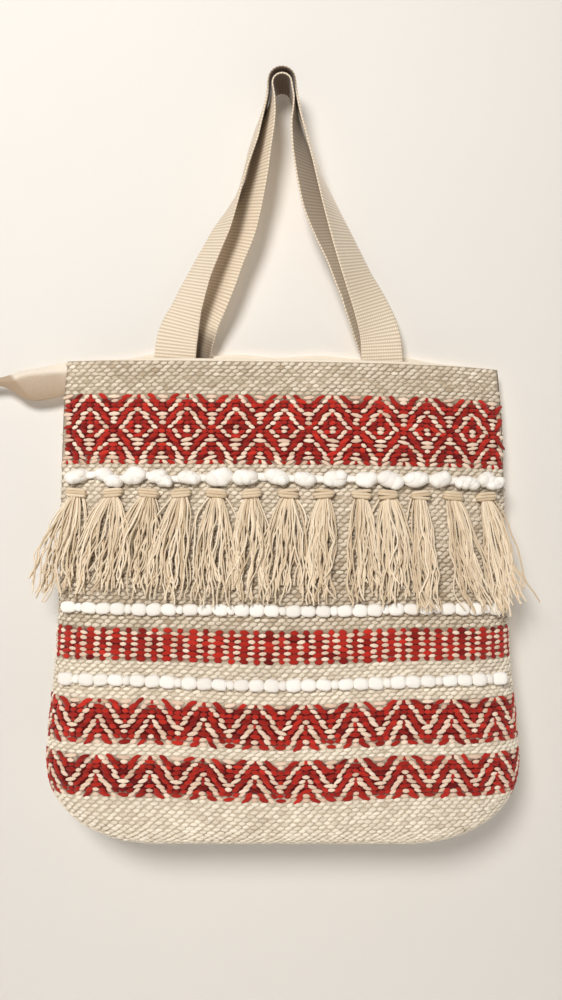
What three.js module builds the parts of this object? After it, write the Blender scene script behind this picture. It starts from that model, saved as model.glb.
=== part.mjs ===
import * as THREE from "three";

// Handloom cotton tote bag, hung by its two webbing straps. Millimetres, +Z up.
// The origin is the hang point, under the straps at the top of their loop.
// +X runs to the right seen from the front of the bag, +Y from its front to its back.

// Body: level sections, drop measured down from the hem.
// front and back are the bulges away from the side seam. A higher flatness makes a
// squarer section, and a lower roundness gives it rounder sides.
const HEM_Z = -254;
const BASE_Z = -681;
const BODY = [
  { drop: 0, halfWidth: 198.5, seamY: 9.5, front: 12.5, back: 12.5, flatness: 6, roundness: 1.0 },
  { drop: 60, halfWidth: 202.4, seamY: 6.0, front: 17.0, back: 16.0, flatness: 6, roundness: 0.9 },
  { drop: 145, halfWidth: 203.2, seamY: 1.5, front: 21.5, back: 20.5, flatness: 6, roundness: 0.75 },
  { drop: 245, halfWidth: 204.0, seamY: -5.0, front: 28.0, back: 27.0, flatness: 7, roundness: 0.6 },
  { drop: 345, halfWidth: 210.0, seamY: -13.5, front: 35.0, back: 35.5, flatness: 8, roundness: 0.5 },
  { drop: 372, halfWidth: 210.0, seamY: -15.0, front: 36.5, back: 37.0, flatness: 8, roundness: 0.5 },
  { drop: 427, halfWidth: 210.0, seamY: -15.0, front: 36.5, back: 37.0, flatness: 8, roundness: 0.5 },
];
const BASE_FLAT = 110; // half length of the straight part of the base seam
const CORNER_WIDTH = 100;
const CORNER_HEIGHT = 70;
const CORNER_POWER = 2;
const FOLD_UNDER = { front: 30, back: 34 }; // height over which a face turns under the base
const FOLD_POWER = 2.4;
const HEM_LIFT_LEFT = 1.5; // the hem hangs a little askew
const HEM_DROP_RIGHT = 6;
const SKEW_REACH = 260; // the skew fades out this far below the hem
// Rows of the weave and their trim sag in the middle, or rise beside it, more so lower down.
const ROW_RISE = { height: 5, half: 130, from: -420, full: -560 };
const WALL = 2.2;
const GAP = 0.3; // between sewn neighbours
const FACE_COLUMNS = 24;
const HEM_ROWS = [0, 12, 24, 36, 48, 62]; // drops of the closer rows beside the mouth
const FACE_ROWS = 12;
const FOLD_ROWS = 6;

// Soft dents and pulls in the two faces: where, how wide and tall, and how far in.
const FOLDS = [
  { side: "front", x: -96, drop: 40, wide: 34, tall: 60, depth: -1.4 },
  { side: "front", x: 91, drop: 40, wide: 34, tall: 60, depth: -1.4 },
  { side: "front", x: -10, drop: 30, wide: 50, tall: 60, depth: 1.6 },
  { side: "front", x: 60, drop: 215, wide: 90, tall: 70, depth: 1.8 },
  { side: "front", x: -120, drop: 300, wide: 70, tall: 60, depth: 1.2 },
  { side: "back", x: 0, drop: 60, wide: 80, tall: 50, depth: 1.5 },
];

// The zip tape at the left corner passes through the side seam, which starts below it.
const SEAM_OPEN = { half: 2.6, full: 34, closed: 62, from: 0.72 };

// Zip tapes, sewn inside the mouth and standing proud of the hem.
const TAPE = { halfLength: 172, thick: 1, gap: 0.45, below: 24, columns: 26, rows: 3 };
const TAPE_RISE = { front: 2.6, back: 8.2 };
const TAPE_WAVE = { height: 1.2, length: 76, phase: 4 };
// The tail is folded lengthwise. ridge is how far its crease stands to the front, and crease
// the height of the crease as a share of the half height.
const ZIP_TAIL = [
  { x: -166, z: -266.0, tall: 24, thick: 3.2, ridge: 0, crease: 0.4 },
  { x: -186, z: -266.8, tall: 28, thick: 3.2, ridge: 0, crease: 0.4 },
  { x: -202, z: -268.2, tall: 30.5, thick: 3.4, ridge: 1, crease: 0.4 },
  { x: -216, z: -271.4, tall: 31, thick: 4.0, ridge: 7, crease: 0.5 },
  { x: -231, z: -273.6, tall: 29.5, thick: 4.2, ridge: 10, crease: 0.55 },
  { x: -241, z: -273.0, tall: 25, thick: 4.2, ridge: 9, crease: 0.4 },
  { x: -252, z: -271.2, tall: 14, thick: 3.8, ridge: 5, crease: 0 },
  { x: -260, z: -270.8, tall: 8.5, thick: 3.4, ridge: 2, crease: 0 },
  { x: -273, z: -271.5, tall: 10, thick: 3.2, ridge: 1, crease: 0 },
];
const ZIP_TAIL_SIDES = 12;

// Webbing straps: centre of each leg by height, depth, and the turn in degrees that brings
// the inner edge of each leg to the front.
const WEBBING = { width: 38, thick: 2, stations: 64 };
const FRONT_STRAP = {
  legs: [
    { z: -292, left: -100, right: 92, y: 3.2, leftTurn: 0, rightTurn: 0 },
    { z: -250, left: -98.5, right: 91, y: 3.2, leftTurn: 0, rightTurn: 0 },
    { z: -228, left: -95.4, right: 89, y: 2.6, leftTurn: 10, rightTurn: 10 },
    { z: -205, left: -88, right: 81.4, y: 1.4, leftTurn: 35, rightTurn: 24 },
    { z: -175, left: -76.3, right: 68.4, y: 0.6, leftTurn: 49, rightTurn: 41 },
    { z: -150, left: -64.4, right: 58.5, y: 0.3, leftTurn: 55, rightTurn: 49 },
    { z: -133, left: -56.1, right: 52, y: 0, leftTurn: 58, rightTurn: 55 },
    { z: -115, left: -47.4, right: 45.2, y: 0, leftTurn: 69, rightTurn: 62 },
    { z: -96, left: -39, right: 38.4, y: 0, leftTurn: 80, rightTurn: 69 },
    { z: -77, left: -33.2, right: 31.8, y: 0, leftTurn: 79, rightTurn: 76 },
    { z: -55, left: -26.8, right: 25, y: 0, leftTurn: 75, rightTurn: 79 },
    { z: -34, left: -20.8, right: 18.6, y: 0, leftTurn: 78, rightTurn: 81 },
    { z: -16, left: -14.6, right: 13.4, y: 0, leftTurn: 86, rightTurn: 87 },
  ],
  loop: { x: -0.7, z: -6.2, radius: 11.9 },
};
const BACK_STRAP = {
  legs: [
    { z: -292, left: -88, right: 94, y: 16.2, leftTurn: 0, rightTurn: 0 },
    { z: -246, left: -86.4, right: 92, y: 15.6, leftTurn: 0, rightTurn: 0 },
    { z: -218, left: -75.2, right: 78.1, y: 12, leftTurn: 28, rightTurn: 30 },
    { z: -190, left: -60.3, right: 63.1, y: 8, leftTurn: 40, rightTurn: 52 },
    { z: -160, left: -48.8, right: 50.4, y: 6.5, leftTurn: 41, rightTurn: 54 },
    { z: -135, left: -37.6, right: 38.4, y: 5.2, leftTurn: 42, rightTurn: 53 },
    { z: -112, left: -30.8, right: 29.3, y: 3.6, leftTurn: 44, rightTurn: 51 },
    { z: -86, left: -23.1, right: 22.8, y: 1.8, leftTurn: 54, rightTurn: 53 },
    { z: -63, left: -18.8, right: 17.4, y: 0.8, leftTurn: 59, rightTurn: 59 },
    { z: -42, left: -15, right: 14, y: 0, leftTurn: 64, rightTurn: 70 },
    { z: -31, left: -13, right: 13.1, y: 0, leftTurn: 70, rightTurn: 78 },
    { z: -20, left: -10.8, right: 11.5, y: 0, leftTurn: 78, rightTurn: 85 },
  ],
  loop: { x: -0.6, z: -8.6, radius: 8.7 },
};
const LOOP_STEPS = 6;

// Bobbles of thick white yarn.
const TOP_BOBBLES = {
  z: -360,
  places: [
    -184.4, -156, -131.5, -107.7, -83.1, -57, -32.6, -5,
    19.4, 46.3, 74, 95.4, 119.2, 139.9, 163.7, 189.8,
  ],
  width: 19,
  tall: 15.5,
  deep: 13,
  neck: 3.2,
  sides: 8,
};
const SMALL_BOBBLES = {
  halfLength: 196,
  repeat: 44.9,
  big: 13,
  tall: 10.5,
  small: 6.4,
  deep: 7,
  neck: 2.6,
  sides: 6,
};
const MIDDLE_BOBBLES_Z = -477;
const LOW_BOBBLES_Z = -540;

// Tassels: head place, how far the skirt swings sideways, and how wide it opens.
const TASSEL_Z = -374.5;
const TASSEL_DROP = 88;
const TASSEL_SIDES = 10;
const SIDE_SHARE = 0.9; // share of the half width past which trim stands clear of the side
const TASSELS = [
  { x: -185.7, lean: -19, open: 31 },
  { x: -151.5, lean: -13.5, open: 41 },
  { x: -119.3, lean: -11, open: 24 },
  { x: -90.5, lean: -9.5, open: 31 },
  { x: -58.9, lean: -3, open: 33 },
  { x: -27.7, lean: -3, open: 25 },
  { x: 4.7, lean: -6.5, open: 30 },
  { x: 36.7, lean: -6.5, open: 24 },
  { x: 69.7, lean: 3.5, open: 22 },
  { x: 93.4, lean: 5.6, open: 27 },
  { x: 122.3, lean: 5.3, open: 20.5 },
  { x: 151.7, lean: 21.5, open: 22 },
  { x: 182.5, lean: 21, open: 26 },
];
// Sections of a tassel: share of its drop, half width and half depth. open is the share of
// its opening that is reached, and lock how deeply the locks part.
const TASSEL_SECTIONS = [
  { down: -0.045, half: 6, depth: 2.4, open: 0, lock: 0 },
  { down: -0.02, half: 8.6, depth: 4, open: 0, lock: 0 },
  { down: 0.035, half: 8.6, depth: 4.2, open: 0, lock: 0 },
  { down: 0.07, half: 6.2, depth: 3.4, open: 0, lock: 0.1 },
  { down: 0.15, half: 6.4, depth: 3.8, open: 0.42, lock: 0.15 },
  { down: 0.3, half: 6.6, depth: 4, open: 0.7, lock: 0.2 },
  { down: 0.62, half: 7, depth: 4, open: 0.92, lock: 0.26 },
  { down: 1, half: 7, depth: 3.6, open: 1, lock: 0.32 },
];

const COTTON = new THREE.MeshStandardMaterial({ color: 0xd9c9a8, roughness: 0.95 });
const WEBBING_COTTON = new THREE.MeshStandardMaterial({ color: 0xd2c2a2, roughness: 0.95 });
const WHITE_YARN = new THREE.MeshStandardMaterial({ color: 0xf4efe6, roughness: 1 });
const TASSEL_YARN = new THREE.MeshStandardMaterial({ color: 0xe6d6b4, roughness: 1 });

const clamp01 = (value) => Math.min(1, Math.max(0, value));
const mix = (a, b, share) => a + (b - a) * share;
const ease = (share) => share * share * (3 - 2 * share);
const wobble = (n) => Math.sin(n * 12.9898 + 4.1414); // repeatable unevenness from -1 to 1

// One column of a table, read smoothly at a value of its key column.
function along(table, key, name, at) {
  const last = table.length - 1;
  if (at <= table[0][key]) return table[0][name];
  if (at >= table[last][key]) return table[last][name];
  let i = 0;
  while (table[i + 1][key] < at) i += 1;
  const slope = (k) => {
    const a = table[Math.max(k - 1, 0)];
    const b = table[Math.min(k + 1, last)];
    return (b[name] - a[name]) / (b[key] - a[key]);
  };
  const span = table[i + 1][key] - table[i][key];
  const t = (at - table[i][key]) / span;
  const rest = 1 - t;
  const start = rest * rest * (1 + 2 * t) * table[i][name];
  const end = t * t * (3 - 2 * t) * table[i + 1][name];
  return start + end + span * t * rest * (rest * slope(i) - t * slope(i + 1));
}

const bodyAt = (name, z) => along(BODY, "drop", name, HEM_Z - z);
const away = { front: -1, back: 1 };

function hemSkew(x) {
  const share = Math.min(1, Math.abs(x) / BODY[0].halfWidth);
  return x < 0 ? HEM_LIFT_LEFT * share : -HEM_DROP_RIGHT * share ** 1.5;
}

const hemLine = (x) => HEM_Z + hemSkew(x);

// Height at x of a row that crosses the middle of the bag at z.
function rowLine(x, z) {
  const skew = hemSkew(x) * clamp01(1 - (HEM_Z - z) / SKEW_REACH);
  const share = clamp01((ROW_RISE.from - z) / (ROW_RISE.from - ROW_RISE.full));
  return z + skew + ROW_RISE.height * share * ease(clamp01(Math.abs(x) / ROW_RISE.half));
}

function baseLine(x, inset) {
  const share = clamp01((Math.abs(x) - BASE_FLAT) / (CORNER_WIDTH - inset));
  const rise = 1 - (1 - share ** CORNER_POWER) ** (1 / CORNER_POWER);
  return BASE_Z + inset + (CORNER_HEIGHT - inset) * rise;
}

function foldDepth(side, x, z) {
  let depth = 0;
  for (const fold of FOLDS) {
    if (fold.side !== side) continue;
    const off = ((x - fold.x) / fold.wide) ** 2 + ((HEM_Z - z - fold.drop) / fold.tall) ** 2;
    depth += fold.depth * Math.exp(-2 * off);
  }
  return depth;
}

// How far a face stands out from the side seam at x and z.
function bulge(side, x, z, inset) {
  const share = clamp01(Math.abs(x) / (bodyAt("halfWidth", z) - inset));
  const square = (1 - share ** bodyAt("flatness", z)) ** bodyAt("roundness", z);
  const low = clamp01((z - baseLine(x, inset)) / FOLD_UNDER[side]);
  const under = (1 - (1 - low) ** FOLD_POWER) ** (1 / FOLD_POWER);
  return (bodyAt(side, z) - inset - foldDepth(side, x, z)) * square * under;
}

function seamHalfGap(x, z) {
  const near = ease(clamp01((-x / bodyAt("halfWidth", z) - SEAM_OPEN.from) / (1 - SEAM_OPEN.from)));
  const high = 1 - ease(clamp01((HEM_Z - z - SEAM_OPEN.full) / (SEAM_OPEN.closed - SEAM_OPEN.full)));
  return GAP / 2 + SEAM_OPEN.half * near * high;
}

// Depth of a face at x and z: inset 0 is its outside, inset WALL its inside.
function faceY(side, x, z, inset) {
  const level = Math.min(z, hemLine(x));
  return bodyAt("seamY", level) + away[side] * (seamHalfGap(x, level) + bulge(side, x, level, inset));
}

function facePoint(side, across, down, inset) {
  let x = across * BODY[0].halfWidth;
  let z = HEM_Z;
  for (let turn = 0; turn < 6; turn += 1) {
    z = mix(hemLine(x), baseLine(x, inset), down);
    x = across * (bodyAt("halfWidth", z) - inset);
  }
  return new THREE.Vector3(x, faceY(side, x, z, inset), z);
}

// Shares of the height at which a face has a row of points, closer where it turns under.
function faceRows(side) {
  const turnAt = 1 - FOLD_UNDER[side] / (HEM_Z - BASE_Z);
  const rows = HEM_ROWS.map((drop) => drop / (HEM_Z - BASE_Z));
  const start = rows.pop();
  for (let i = 0; i < FACE_ROWS; i += 1) rows.push(mix(start, turnAt, i / FACE_ROWS));
  for (let i = 0; i <= FOLD_ROWS; i += 1) {
    const turned = Math.sin((i / FOLD_ROWS) * (Math.PI / 2)) ** (2 / FOLD_POWER);
    rows.push(mix(turnAt, 1, turned));
  }
  return rows;
}

function faceGrid(side, inset) {
  return faceRows(side).map((down) => {
    const row = [];
    for (let i = 0; i <= FACE_COLUMNS; i += 1) {
      const even = -1 + (2 * i) / FACE_COLUMNS;
      const across = even * (1.3 - 0.3 * even * even);
      row.push(facePoint(side, -across * away[side], down, inset));
    }
    return row;
  });
}

function solid(points, triangles) {
  const geometry = new THREE.BufferGeometry();
  const flat = points.flatMap((p) => [p.x, p.y, p.z]);
  geometry.setAttribute("position", new THREE.Float32BufferAttribute(flat, 3));
  geometry.setIndex(triangles);
  geometry.computeVertexNormals();
  return geometry;
}

// A closed wall between two grids of points with the same rows and columns.
function wallBetween(outer, inner) {
  const rows = outer.length;
  const columns = outer[0].length;
  const points = [...outer.flat(), ...inner.flat()];
  const at = (r, c) => r * columns + c;
  const behind = rows * columns;
  const triangles = [];
  const quad = (a, b, c, d) => triangles.push(a, b, c, a, c, d);
  for (let r = 0; r + 1 < rows; r += 1) {
    for (let c = 0; c + 1 < columns; c += 1) {
      const [a, b, d, e] = [at(r, c), at(r + 1, c), at(r + 1, c + 1), at(r, c + 1)];
      quad(a, b, d, e);
      quad(behind + e, behind + d, behind + b, behind + a);
    }
    quad(at(r, 0), behind + at(r, 0), behind + at(r + 1, 0), at(r + 1, 0));
    const [a, b] = [at(r, columns - 1), at(r + 1, columns - 1)];
    quad(a, b, behind + b, behind + a);
  }
  for (let c = 0; c + 1 < columns; c += 1) {
    quad(at(0, c), at(0, c + 1), behind + at(0, c + 1), behind + at(0, c));
    const [a, b] = [at(rows - 1, c), at(rows - 1, c + 1)];
    quad(a, behind + a, behind + b, b);
  }
  return solid(points, triangles);
}

// A closed skin over rings of points that run anticlockwise seen from the first ring.
function skinOver(rings) {
  const sides = rings[0].length;
  const points = rings.flat();
  const triangles = [];
  const middle = (ring) => ring.reduce((sum, p) => sum.add(p), new THREE.Vector3()).divideScalar(sides);
  for (let r = 0; r + 1 < rings.length; r += 1) {
    for (let k = 0; k < sides; k += 1) {
      const next = (k + 1) % sides;
      const [a, b] = [r * sides + k, r * sides + next];
      triangles.push(a, a + sides, b + sides, a, b + sides, b);
    }
  }
  const first = points.push(middle(rings[0])) - 1;
  const last = points.push(middle(rings[rings.length - 1])) - 1;
  const end = (rings.length - 1) * sides;
  for (let k = 0; k < sides; k += 1) {
    const next = (k + 1) % sides;
    triangles.push(first, k, next);
    triangles.push(last, end + next, end + k);
  }
  return solid(points, triangles);
}

// Depth just in front of the front face, and of its rounded sides for what hangs past them.
function aheadY(x, z) {
  const side = SIDE_SHARE * bodyAt("halfWidth", z);
  return faceY("front", Math.min(side, Math.max(-side, x)), z, 0) - GAP;
}

function ahead(point) {
  point.y = Math.min(point.y, aheadY(point.x, point.z));
  return point;
}

function tapeGeometry(side) {
  const grid = (inside) => {
    const rows = [];
    for (let r = 0; r <= TAPE.rows; r += 1) {
      const row = [];
      for (let i = 0; i <= TAPE.columns; i += 1) {
        const x = -away[side] * mix(-1, 1, i / TAPE.columns) * TAPE.halfLength;
        const wave = -TAPE_WAVE.height * Math.cos((2 * Math.PI * (x + TAPE_WAVE.phase)) / TAPE_WAVE.length);
        const rise = TAPE_RISE[side] + (side === "back" ? wave : 0);
        const taper = ease(clamp01((TAPE.halfLength - Math.abs(x)) / 60));
        const top = hemLine(x) + rise * mix(0.3, 1, taper);
        const z = mix(top, hemLine(x) - TAPE.below, r / TAPE.rows);
        row.push(new THREE.Vector3(x, faceY(side, x, z, WALL) - away[side] * inside, z));
      }
      rows.push(row);
    }
    return rows;
  };
  return wallBetween(grid(TAPE.gap), grid(TAPE.gap + TAPE.thick));
}

function zipTailGeometry() {
  const rings = ZIP_TAIL.map((row) => {
    const ring = [];
    for (let k = 0; k < ZIP_TAIL_SIDES; k += 1) {
      const angle = (2 * Math.PI * k) / ZIP_TAIL_SIDES;
      const high = Math.sin(angle);
      const slope = high > row.crease ? 1 - row.crease : 1 + row.crease;
      const fold = Math.cos(angle) < 0 ? row.ridge * (1 - Math.abs(high - row.crease) / slope) : 0;
      const y = BODY[0].seamY + (row.thick / 2) * Math.cos(angle) - fold;
      ring.push(new THREE.Vector3(row.x, y, row.z + (row.tall / 2) * high));
    }
    return ring;
  });
  return skinOver(rings);
}

function strapGeometry(strap) {
  const { legs, loop } = strap;
  const places = [];
  const turns = [];
  const add = (x, y, z, turn) => {
    places.push(new THREE.Vector3(x, y, z));
    turns.push(turn);
  };
  for (const row of legs) add(row.left, row.y, row.z, row.leftTurn);
  for (let i = 0; i <= LOOP_STEPS; i += 1) {
    const angle = Math.PI * (1 - i / LOOP_STEPS);
    add(loop.x + loop.radius * Math.cos(angle), 0, loop.z + loop.radius * Math.sin(angle), 90);
  }
  for (const row of [...legs].reverse()) add(row.right, row.y, row.z, row.rightTurn);
  const path = new THREE.CatmullRomCurve3(places);
  const toFront = new THREE.Vector3(0, -1, 0);
  const rings = [];
  for (let i = 0; i <= WEBBING.stations; i += 1) {
    const share = i / WEBBING.stations;
    const step = share * (turns.length - 1);
    const from = Math.min(Math.floor(step), turns.length - 2);
    const turn = THREE.MathUtils.degToRad(mix(turns[from], turns[from + 1], step - from));
    const middle = path.getPoint(share);
    const run = path.getTangent(share);
    const inward = new THREE.Vector3().crossVectors(run, toFront).normalize();
    const wide = inward.multiplyScalar(Math.cos(turn)).addScaledVector(toFront, Math.sin(turn));
    wide.addScaledVector(run, -wide.dot(run)).normalize();
    const out = new THREE.Vector3().crossVectors(wide, run);
    wide.multiplyScalar(WEBBING.width / 2);
    out.multiplyScalar(WEBBING.thick / 2);
    const corner = (w, t) => middle.clone().addScaledVector(wide, w).addScaledVector(out, t);
    rings.push([corner(-1, 1), corner(-1, -1), corner(1, -1), corner(1, 1)]);
  }
  return skinOver(rings);
}

// A row of bobbles: rings of given half height and half depth along a level line.
function bobbleGeometry(stations, sides) {
  const rings = stations.map(({ x, z, tall, deep }) => {
    const middleY = aheadY(x, z) - deep * 0.45;
    const ring = [];
    for (let k = 0; k < sides; k += 1) {
      const angle = (2 * Math.PI * (k + 0.5)) / sides;
      const y = middleY - (deep / 2) * Math.cos(angle);
      ring.push(ahead(new THREE.Vector3(x, y, z + (tall / 2) * Math.sin(angle))));
    }
    return ring;
  });
  return skinOver(rings);
}

function topBobbleStations() {
  const { places, width, tall, deep, neck, z } = TOP_BOBBLES;
  const stations = [];
  places.forEach((x, i) => {
    const size = 1 + 0.1 * wobble(i);
    const shift = 1.8 * wobble(i + 40);
    for (const [share, swell] of [[-0.5, 0.42], [-0.26, 0.92], [0.26, 1], [0.5, 0.4]]) {
      const at = x + share * width * size;
      stations.push({
        x: at,
        z: rowLine(at, z) + shift,
        tall: Math.max(neck, tall * size * swell),
        deep: Math.max(neck, deep * size * swell),
      });
    }
    if (i + 1 < places.length) {
      const at = (x + places[i + 1]) / 2;
      stations.push({ x: at, z: rowLine(at, z) + shift / 2, tall: neck, deep: neck });
    }
  });
  return stations.sort((a, b) => a.x - b.x);
}

function smallBobbleStations(z) {
  const { halfLength, repeat, big, tall, small, deep, neck } = SMALL_BOBBLES;
  const stations = [];
  const add = (x, height, depth) => {
    if (Math.abs(x) <= halfLength) stations.push({ x, z: rowLine(x, z), tall: height, deep: depth });
  };
  for (let n = -5; n <= 4; n += 1) {
    const start = n * repeat + repeat / 2 - 1.5 * big;
    for (let k = 0; k < 3; k += 1) {
      const size = 1 + 0.08 * wobble(n * 3 + k);
      add(start + k * big, neck, neck);
      add(start + (k + 0.5) * big, tall * size, deep * size);
    }
    add(start + 3 * big, neck, neck);
    add(start + (repeat + 3 * big) / 2, small, deep * 0.7);
  }
  return stations;
}

function tasselGeometry(row, index) {
  const rings = TASSEL_SECTIONS.map((section, level) => {
    const down = Math.max(0, section.down);
    const middleX = row.x + row.lean * down ** 1.3;
    const half = mix(section.half, row.open / 2, section.open);
    const middleZ = rowLine(row.x, TASSEL_Z) - section.down * TASSEL_DROP;
    const middleY = aheadY(middleX, middleZ) - section.depth;
    const ring = [];
    for (let k = 0; k < TASSEL_SIDES; k += 1) {
      const angle = (2 * Math.PI * k) / TASSEL_SIDES;
      const size = k % 2 ? 1 - section.lock : 1;
      const last = level === TASSEL_SECTIONS.length - 1;
      const fray = last ? 3 * wobble(index * 17 + k) : 0;
      const x = middleX + half * size * Math.cos(angle);
      const y = middleY - section.depth * size * Math.sin(angle);
      ring.push(ahead(new THREE.Vector3(x, y, middleZ + fray)));
    }
    return ring.reverse();
  });
  return skinOver(rings);
}

const group = new THREE.Group();
group.name = "handloom_cotton_bag";

function add(name, geometry, material) {
  const mesh = new THREE.Mesh(geometry, material);
  mesh.name = name;
  group.add(mesh);
}

for (const side of ["front", "back"]) {
  add(`${side}_panel`, wallBetween(faceGrid(side, 0), faceGrid(side, WALL)), COTTON);
  add(`zip_tape_${side}`, tapeGeometry(side), COTTON);
}
add("front_strap", strapGeometry(FRONT_STRAP), WEBBING_COTTON);
add("back_strap", strapGeometry(BACK_STRAP), WEBBING_COTTON);
add("zip_tail", zipTailGeometry(), COTTON);
add("bobble_row_top", bobbleGeometry(topBobbleStations(), TOP_BOBBLES.sides), WHITE_YARN);
for (const [name, z] of [["bobble_row_middle", MIDDLE_BOBBLES_Z], ["bobble_row_low", LOW_BOBBLES_Z]]) {
  add(name, bobbleGeometry(smallBobbleStations(z), SMALL_BOBBLES.sides), WHITE_YARN);
}
TASSELS.forEach((row, index) => {
  add(`tassel_${String(index + 1).padStart(2, "0")}`, tasselGeometry(row, index), TASSEL_YARN);
});

export default group;
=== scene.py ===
import math

import bpy
import numpy as np
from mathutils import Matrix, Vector


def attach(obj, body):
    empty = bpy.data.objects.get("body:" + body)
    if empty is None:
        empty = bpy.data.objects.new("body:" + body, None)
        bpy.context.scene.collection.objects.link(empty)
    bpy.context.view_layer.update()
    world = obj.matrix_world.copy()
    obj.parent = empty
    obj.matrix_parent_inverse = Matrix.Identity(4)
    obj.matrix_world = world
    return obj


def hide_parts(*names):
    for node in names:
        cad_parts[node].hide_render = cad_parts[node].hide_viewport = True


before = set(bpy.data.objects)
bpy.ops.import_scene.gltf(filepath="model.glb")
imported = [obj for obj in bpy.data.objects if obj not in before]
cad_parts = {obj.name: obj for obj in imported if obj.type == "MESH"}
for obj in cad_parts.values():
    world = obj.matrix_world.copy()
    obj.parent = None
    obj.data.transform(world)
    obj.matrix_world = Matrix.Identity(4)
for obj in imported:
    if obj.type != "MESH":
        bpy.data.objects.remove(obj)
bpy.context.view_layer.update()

# Handloom cotton tote bag. Shapes are given in millimetres, and every mesh is turned to metres
# when it is made.
MM = 0.001
rng = np.random.default_rng(41)

# Body of the bag: level sections by drop below the hem.
HEM_Z = -254.0
BASE_Z = -681.0
BODY_DROP = (0, 60, 145, 245, 345, 372, 427)
BODY = {
    "half_width": (198.5, 202.4, 203.2, 204.0, 210.0, 210.0, 210.0),
    "seam_y": (9.5, 6.0, 1.5, -5.0, -13.5, -15.0, -15.0),
    "front": (12.5, 17.0, 21.5, 28.0, 35.0, 36.5, 36.5),
    "back": (12.5, 16.0, 20.5, 27.0, 35.5, 37.0, 37.0),
    "flatness": (6, 6, 6, 7, 8, 8, 8),
    "roundness": (1.0, 0.9, 0.75, 0.6, 0.5, 0.5, 0.5),
}
AWAY = {"front": -1.0, "back": 1.0}
BASE_FLAT = 110.0
CORNER_WIDTH = 100.0
CORNER_HEIGHT = 70.0
FOLD_UNDER = {"front": 30.0, "back": 34.0}
FOLD_POWER = 2.4
HEM_LIFT_LEFT = 1.5
HEM_DROP_RIGHT = 6.0
SKEW_REACH = 260.0
# Rows of the weave and their trim rise beside the middle, more so lower down.
ROW_RISE = {"height": 5.0, "half": 130.0, "from": -420.0, "full": -560.0}
WALL = 2.2
GAP = 0.3
# Soft dents and pulls: side, x, drop, width, height, depth.
FOLDS = (
    ("front", -96, 40, 34, 60, -1.4),
    ("front", 91, 40, 34, 60, -1.4),
    ("front", -10, 30, 50, 60, 1.6),
    ("front", 60, 215, 90, 70, 1.8),
    ("front", -120, 300, 70, 60, 1.2),
    ("back", 0, 60, 80, 50, 1.5),
)
# The left seam stands open below the mouth: half its gap, the drops where it starts and ends
# closing, and where it starts across, as a share of the half width.
SEAM_OPEN = {"half": 2.6, "full": 34.0, "closed": 62.0, "from": 0.72}

# Woven bands down the front: kind, top and bottom at the middle, rows of weft.
BANDS = (
    ("ground", -254.6, -285.0, 9),
    ("diamond", -285.0, -348.3, 16),
    ("ground", -348.3, -494.0, 42),
    ("dash", -494.0, -523.5, 6),
    ("ground", -523.5, -556.5, 10),
    ("chevron", -556.5, -593.6, 9),
    ("ground", -593.6, -602.4, 3),
    ("chevron", -602.4, -637.0, 9),
)
GROUND_PITCH = 3.4
HEM_SEAM_Z = -271.5
HEM_BELOW = -285.0
# Half charts, mirrored about their first column: # is red weft and o is cream.
DIAMOND = (
    "#o###oo", "##o###o", "###o###", "o###o##", "#oo##oo", "##o###o", "###o##o", "o###o##",
    "o##o###", "##o###o", "oo###oo", "oo##o##", "o##o###", "##o###o", "#oo##oo", "#oo##o#",
)
CHEVRON = (
    "oo###o#", "o###o##", "###o###", "##o###o", "#oo##o#", "oo##oo#", "o##oo##", "###o##o", "##o###o",
)
CHARTS = {"diamond": DIAMOND, "chevron": CHEVRON}
REPEAT_COLUMNS = 12
REPEAT_WIDTH = 43.4
# The repeats drift and close up a little towards the right: level, start and closing.
REPEAT_DRIFT = ((-575.0, -1.8, 0.434), (-316.0, 1.7, 0.2))
# Dash band: centre and width of each dash in columns, every six columns, and its colour.
DASHES = ((0.0, 2.4, "#"), (3.0, 3.4, "#"), (1.35, 2.05, "p"), (4.65, 2.05, "p"))
DASH_EVERY = 6
# Rounds to find a place on a face, because its width and its lines depend on each other.
SETTLING_ROUNDS = 6
# Trim keeps to this share of the half width where it reads the depth of the face.
TRIM_WITHIN = 0.9
WOBBLE = {"step": 12.9898, "start": 4.1414}


def clamp01(value):
    return np.clip(value, 0.0, 1.0)


def ease(share):
    return share * share * (3 - 2 * share)


def mix(a, b, share):
    return a + (b - a) * share


def wobble(n):
    """A fixed number from -1 to 1 for each n."""
    return math.sin(n * WOBBLE["step"] + WOBBLE["start"])


def read_smoothly(keys, values, at):
    """One column of a table along a smooth curve, held level past its ends."""
    keys = np.asarray(keys, float)
    values = np.asarray(values, float)
    at = np.clip(at, keys[0], keys[-1])
    slope = np.empty(len(keys))
    slope[1:-1] = (values[2:] - values[:-2]) / (keys[2:] - keys[:-2])
    slope[0] = (values[1] - values[0]) / (keys[1] - keys[0])
    slope[-1] = (values[-1] - values[-2]) / (keys[-1] - keys[-2])
    i = np.clip(np.searchsorted(keys, at) - 1, 0, len(keys) - 2)
    span = keys[i + 1] - keys[i]
    t = (at - keys[i]) / span
    rest = 1 - t
    start = rest * rest * (1 + 2 * t) * values[i]
    end = t * t * (3 - 2 * t) * values[i + 1]
    return start + end + span * t * rest * (rest * slope[i] - t * slope[i + 1])


def body(name, z):
    return read_smoothly(BODY_DROP, BODY[name], HEM_Z - z)


def hem_skew(x):
    share = np.minimum(1, np.abs(x) / BODY["half_width"][0])
    return np.where(x < 0, HEM_LIFT_LEFT * share, -HEM_DROP_RIGHT * share**1.5)


def hem_line(x):
    return HEM_Z + hem_skew(x)


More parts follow.
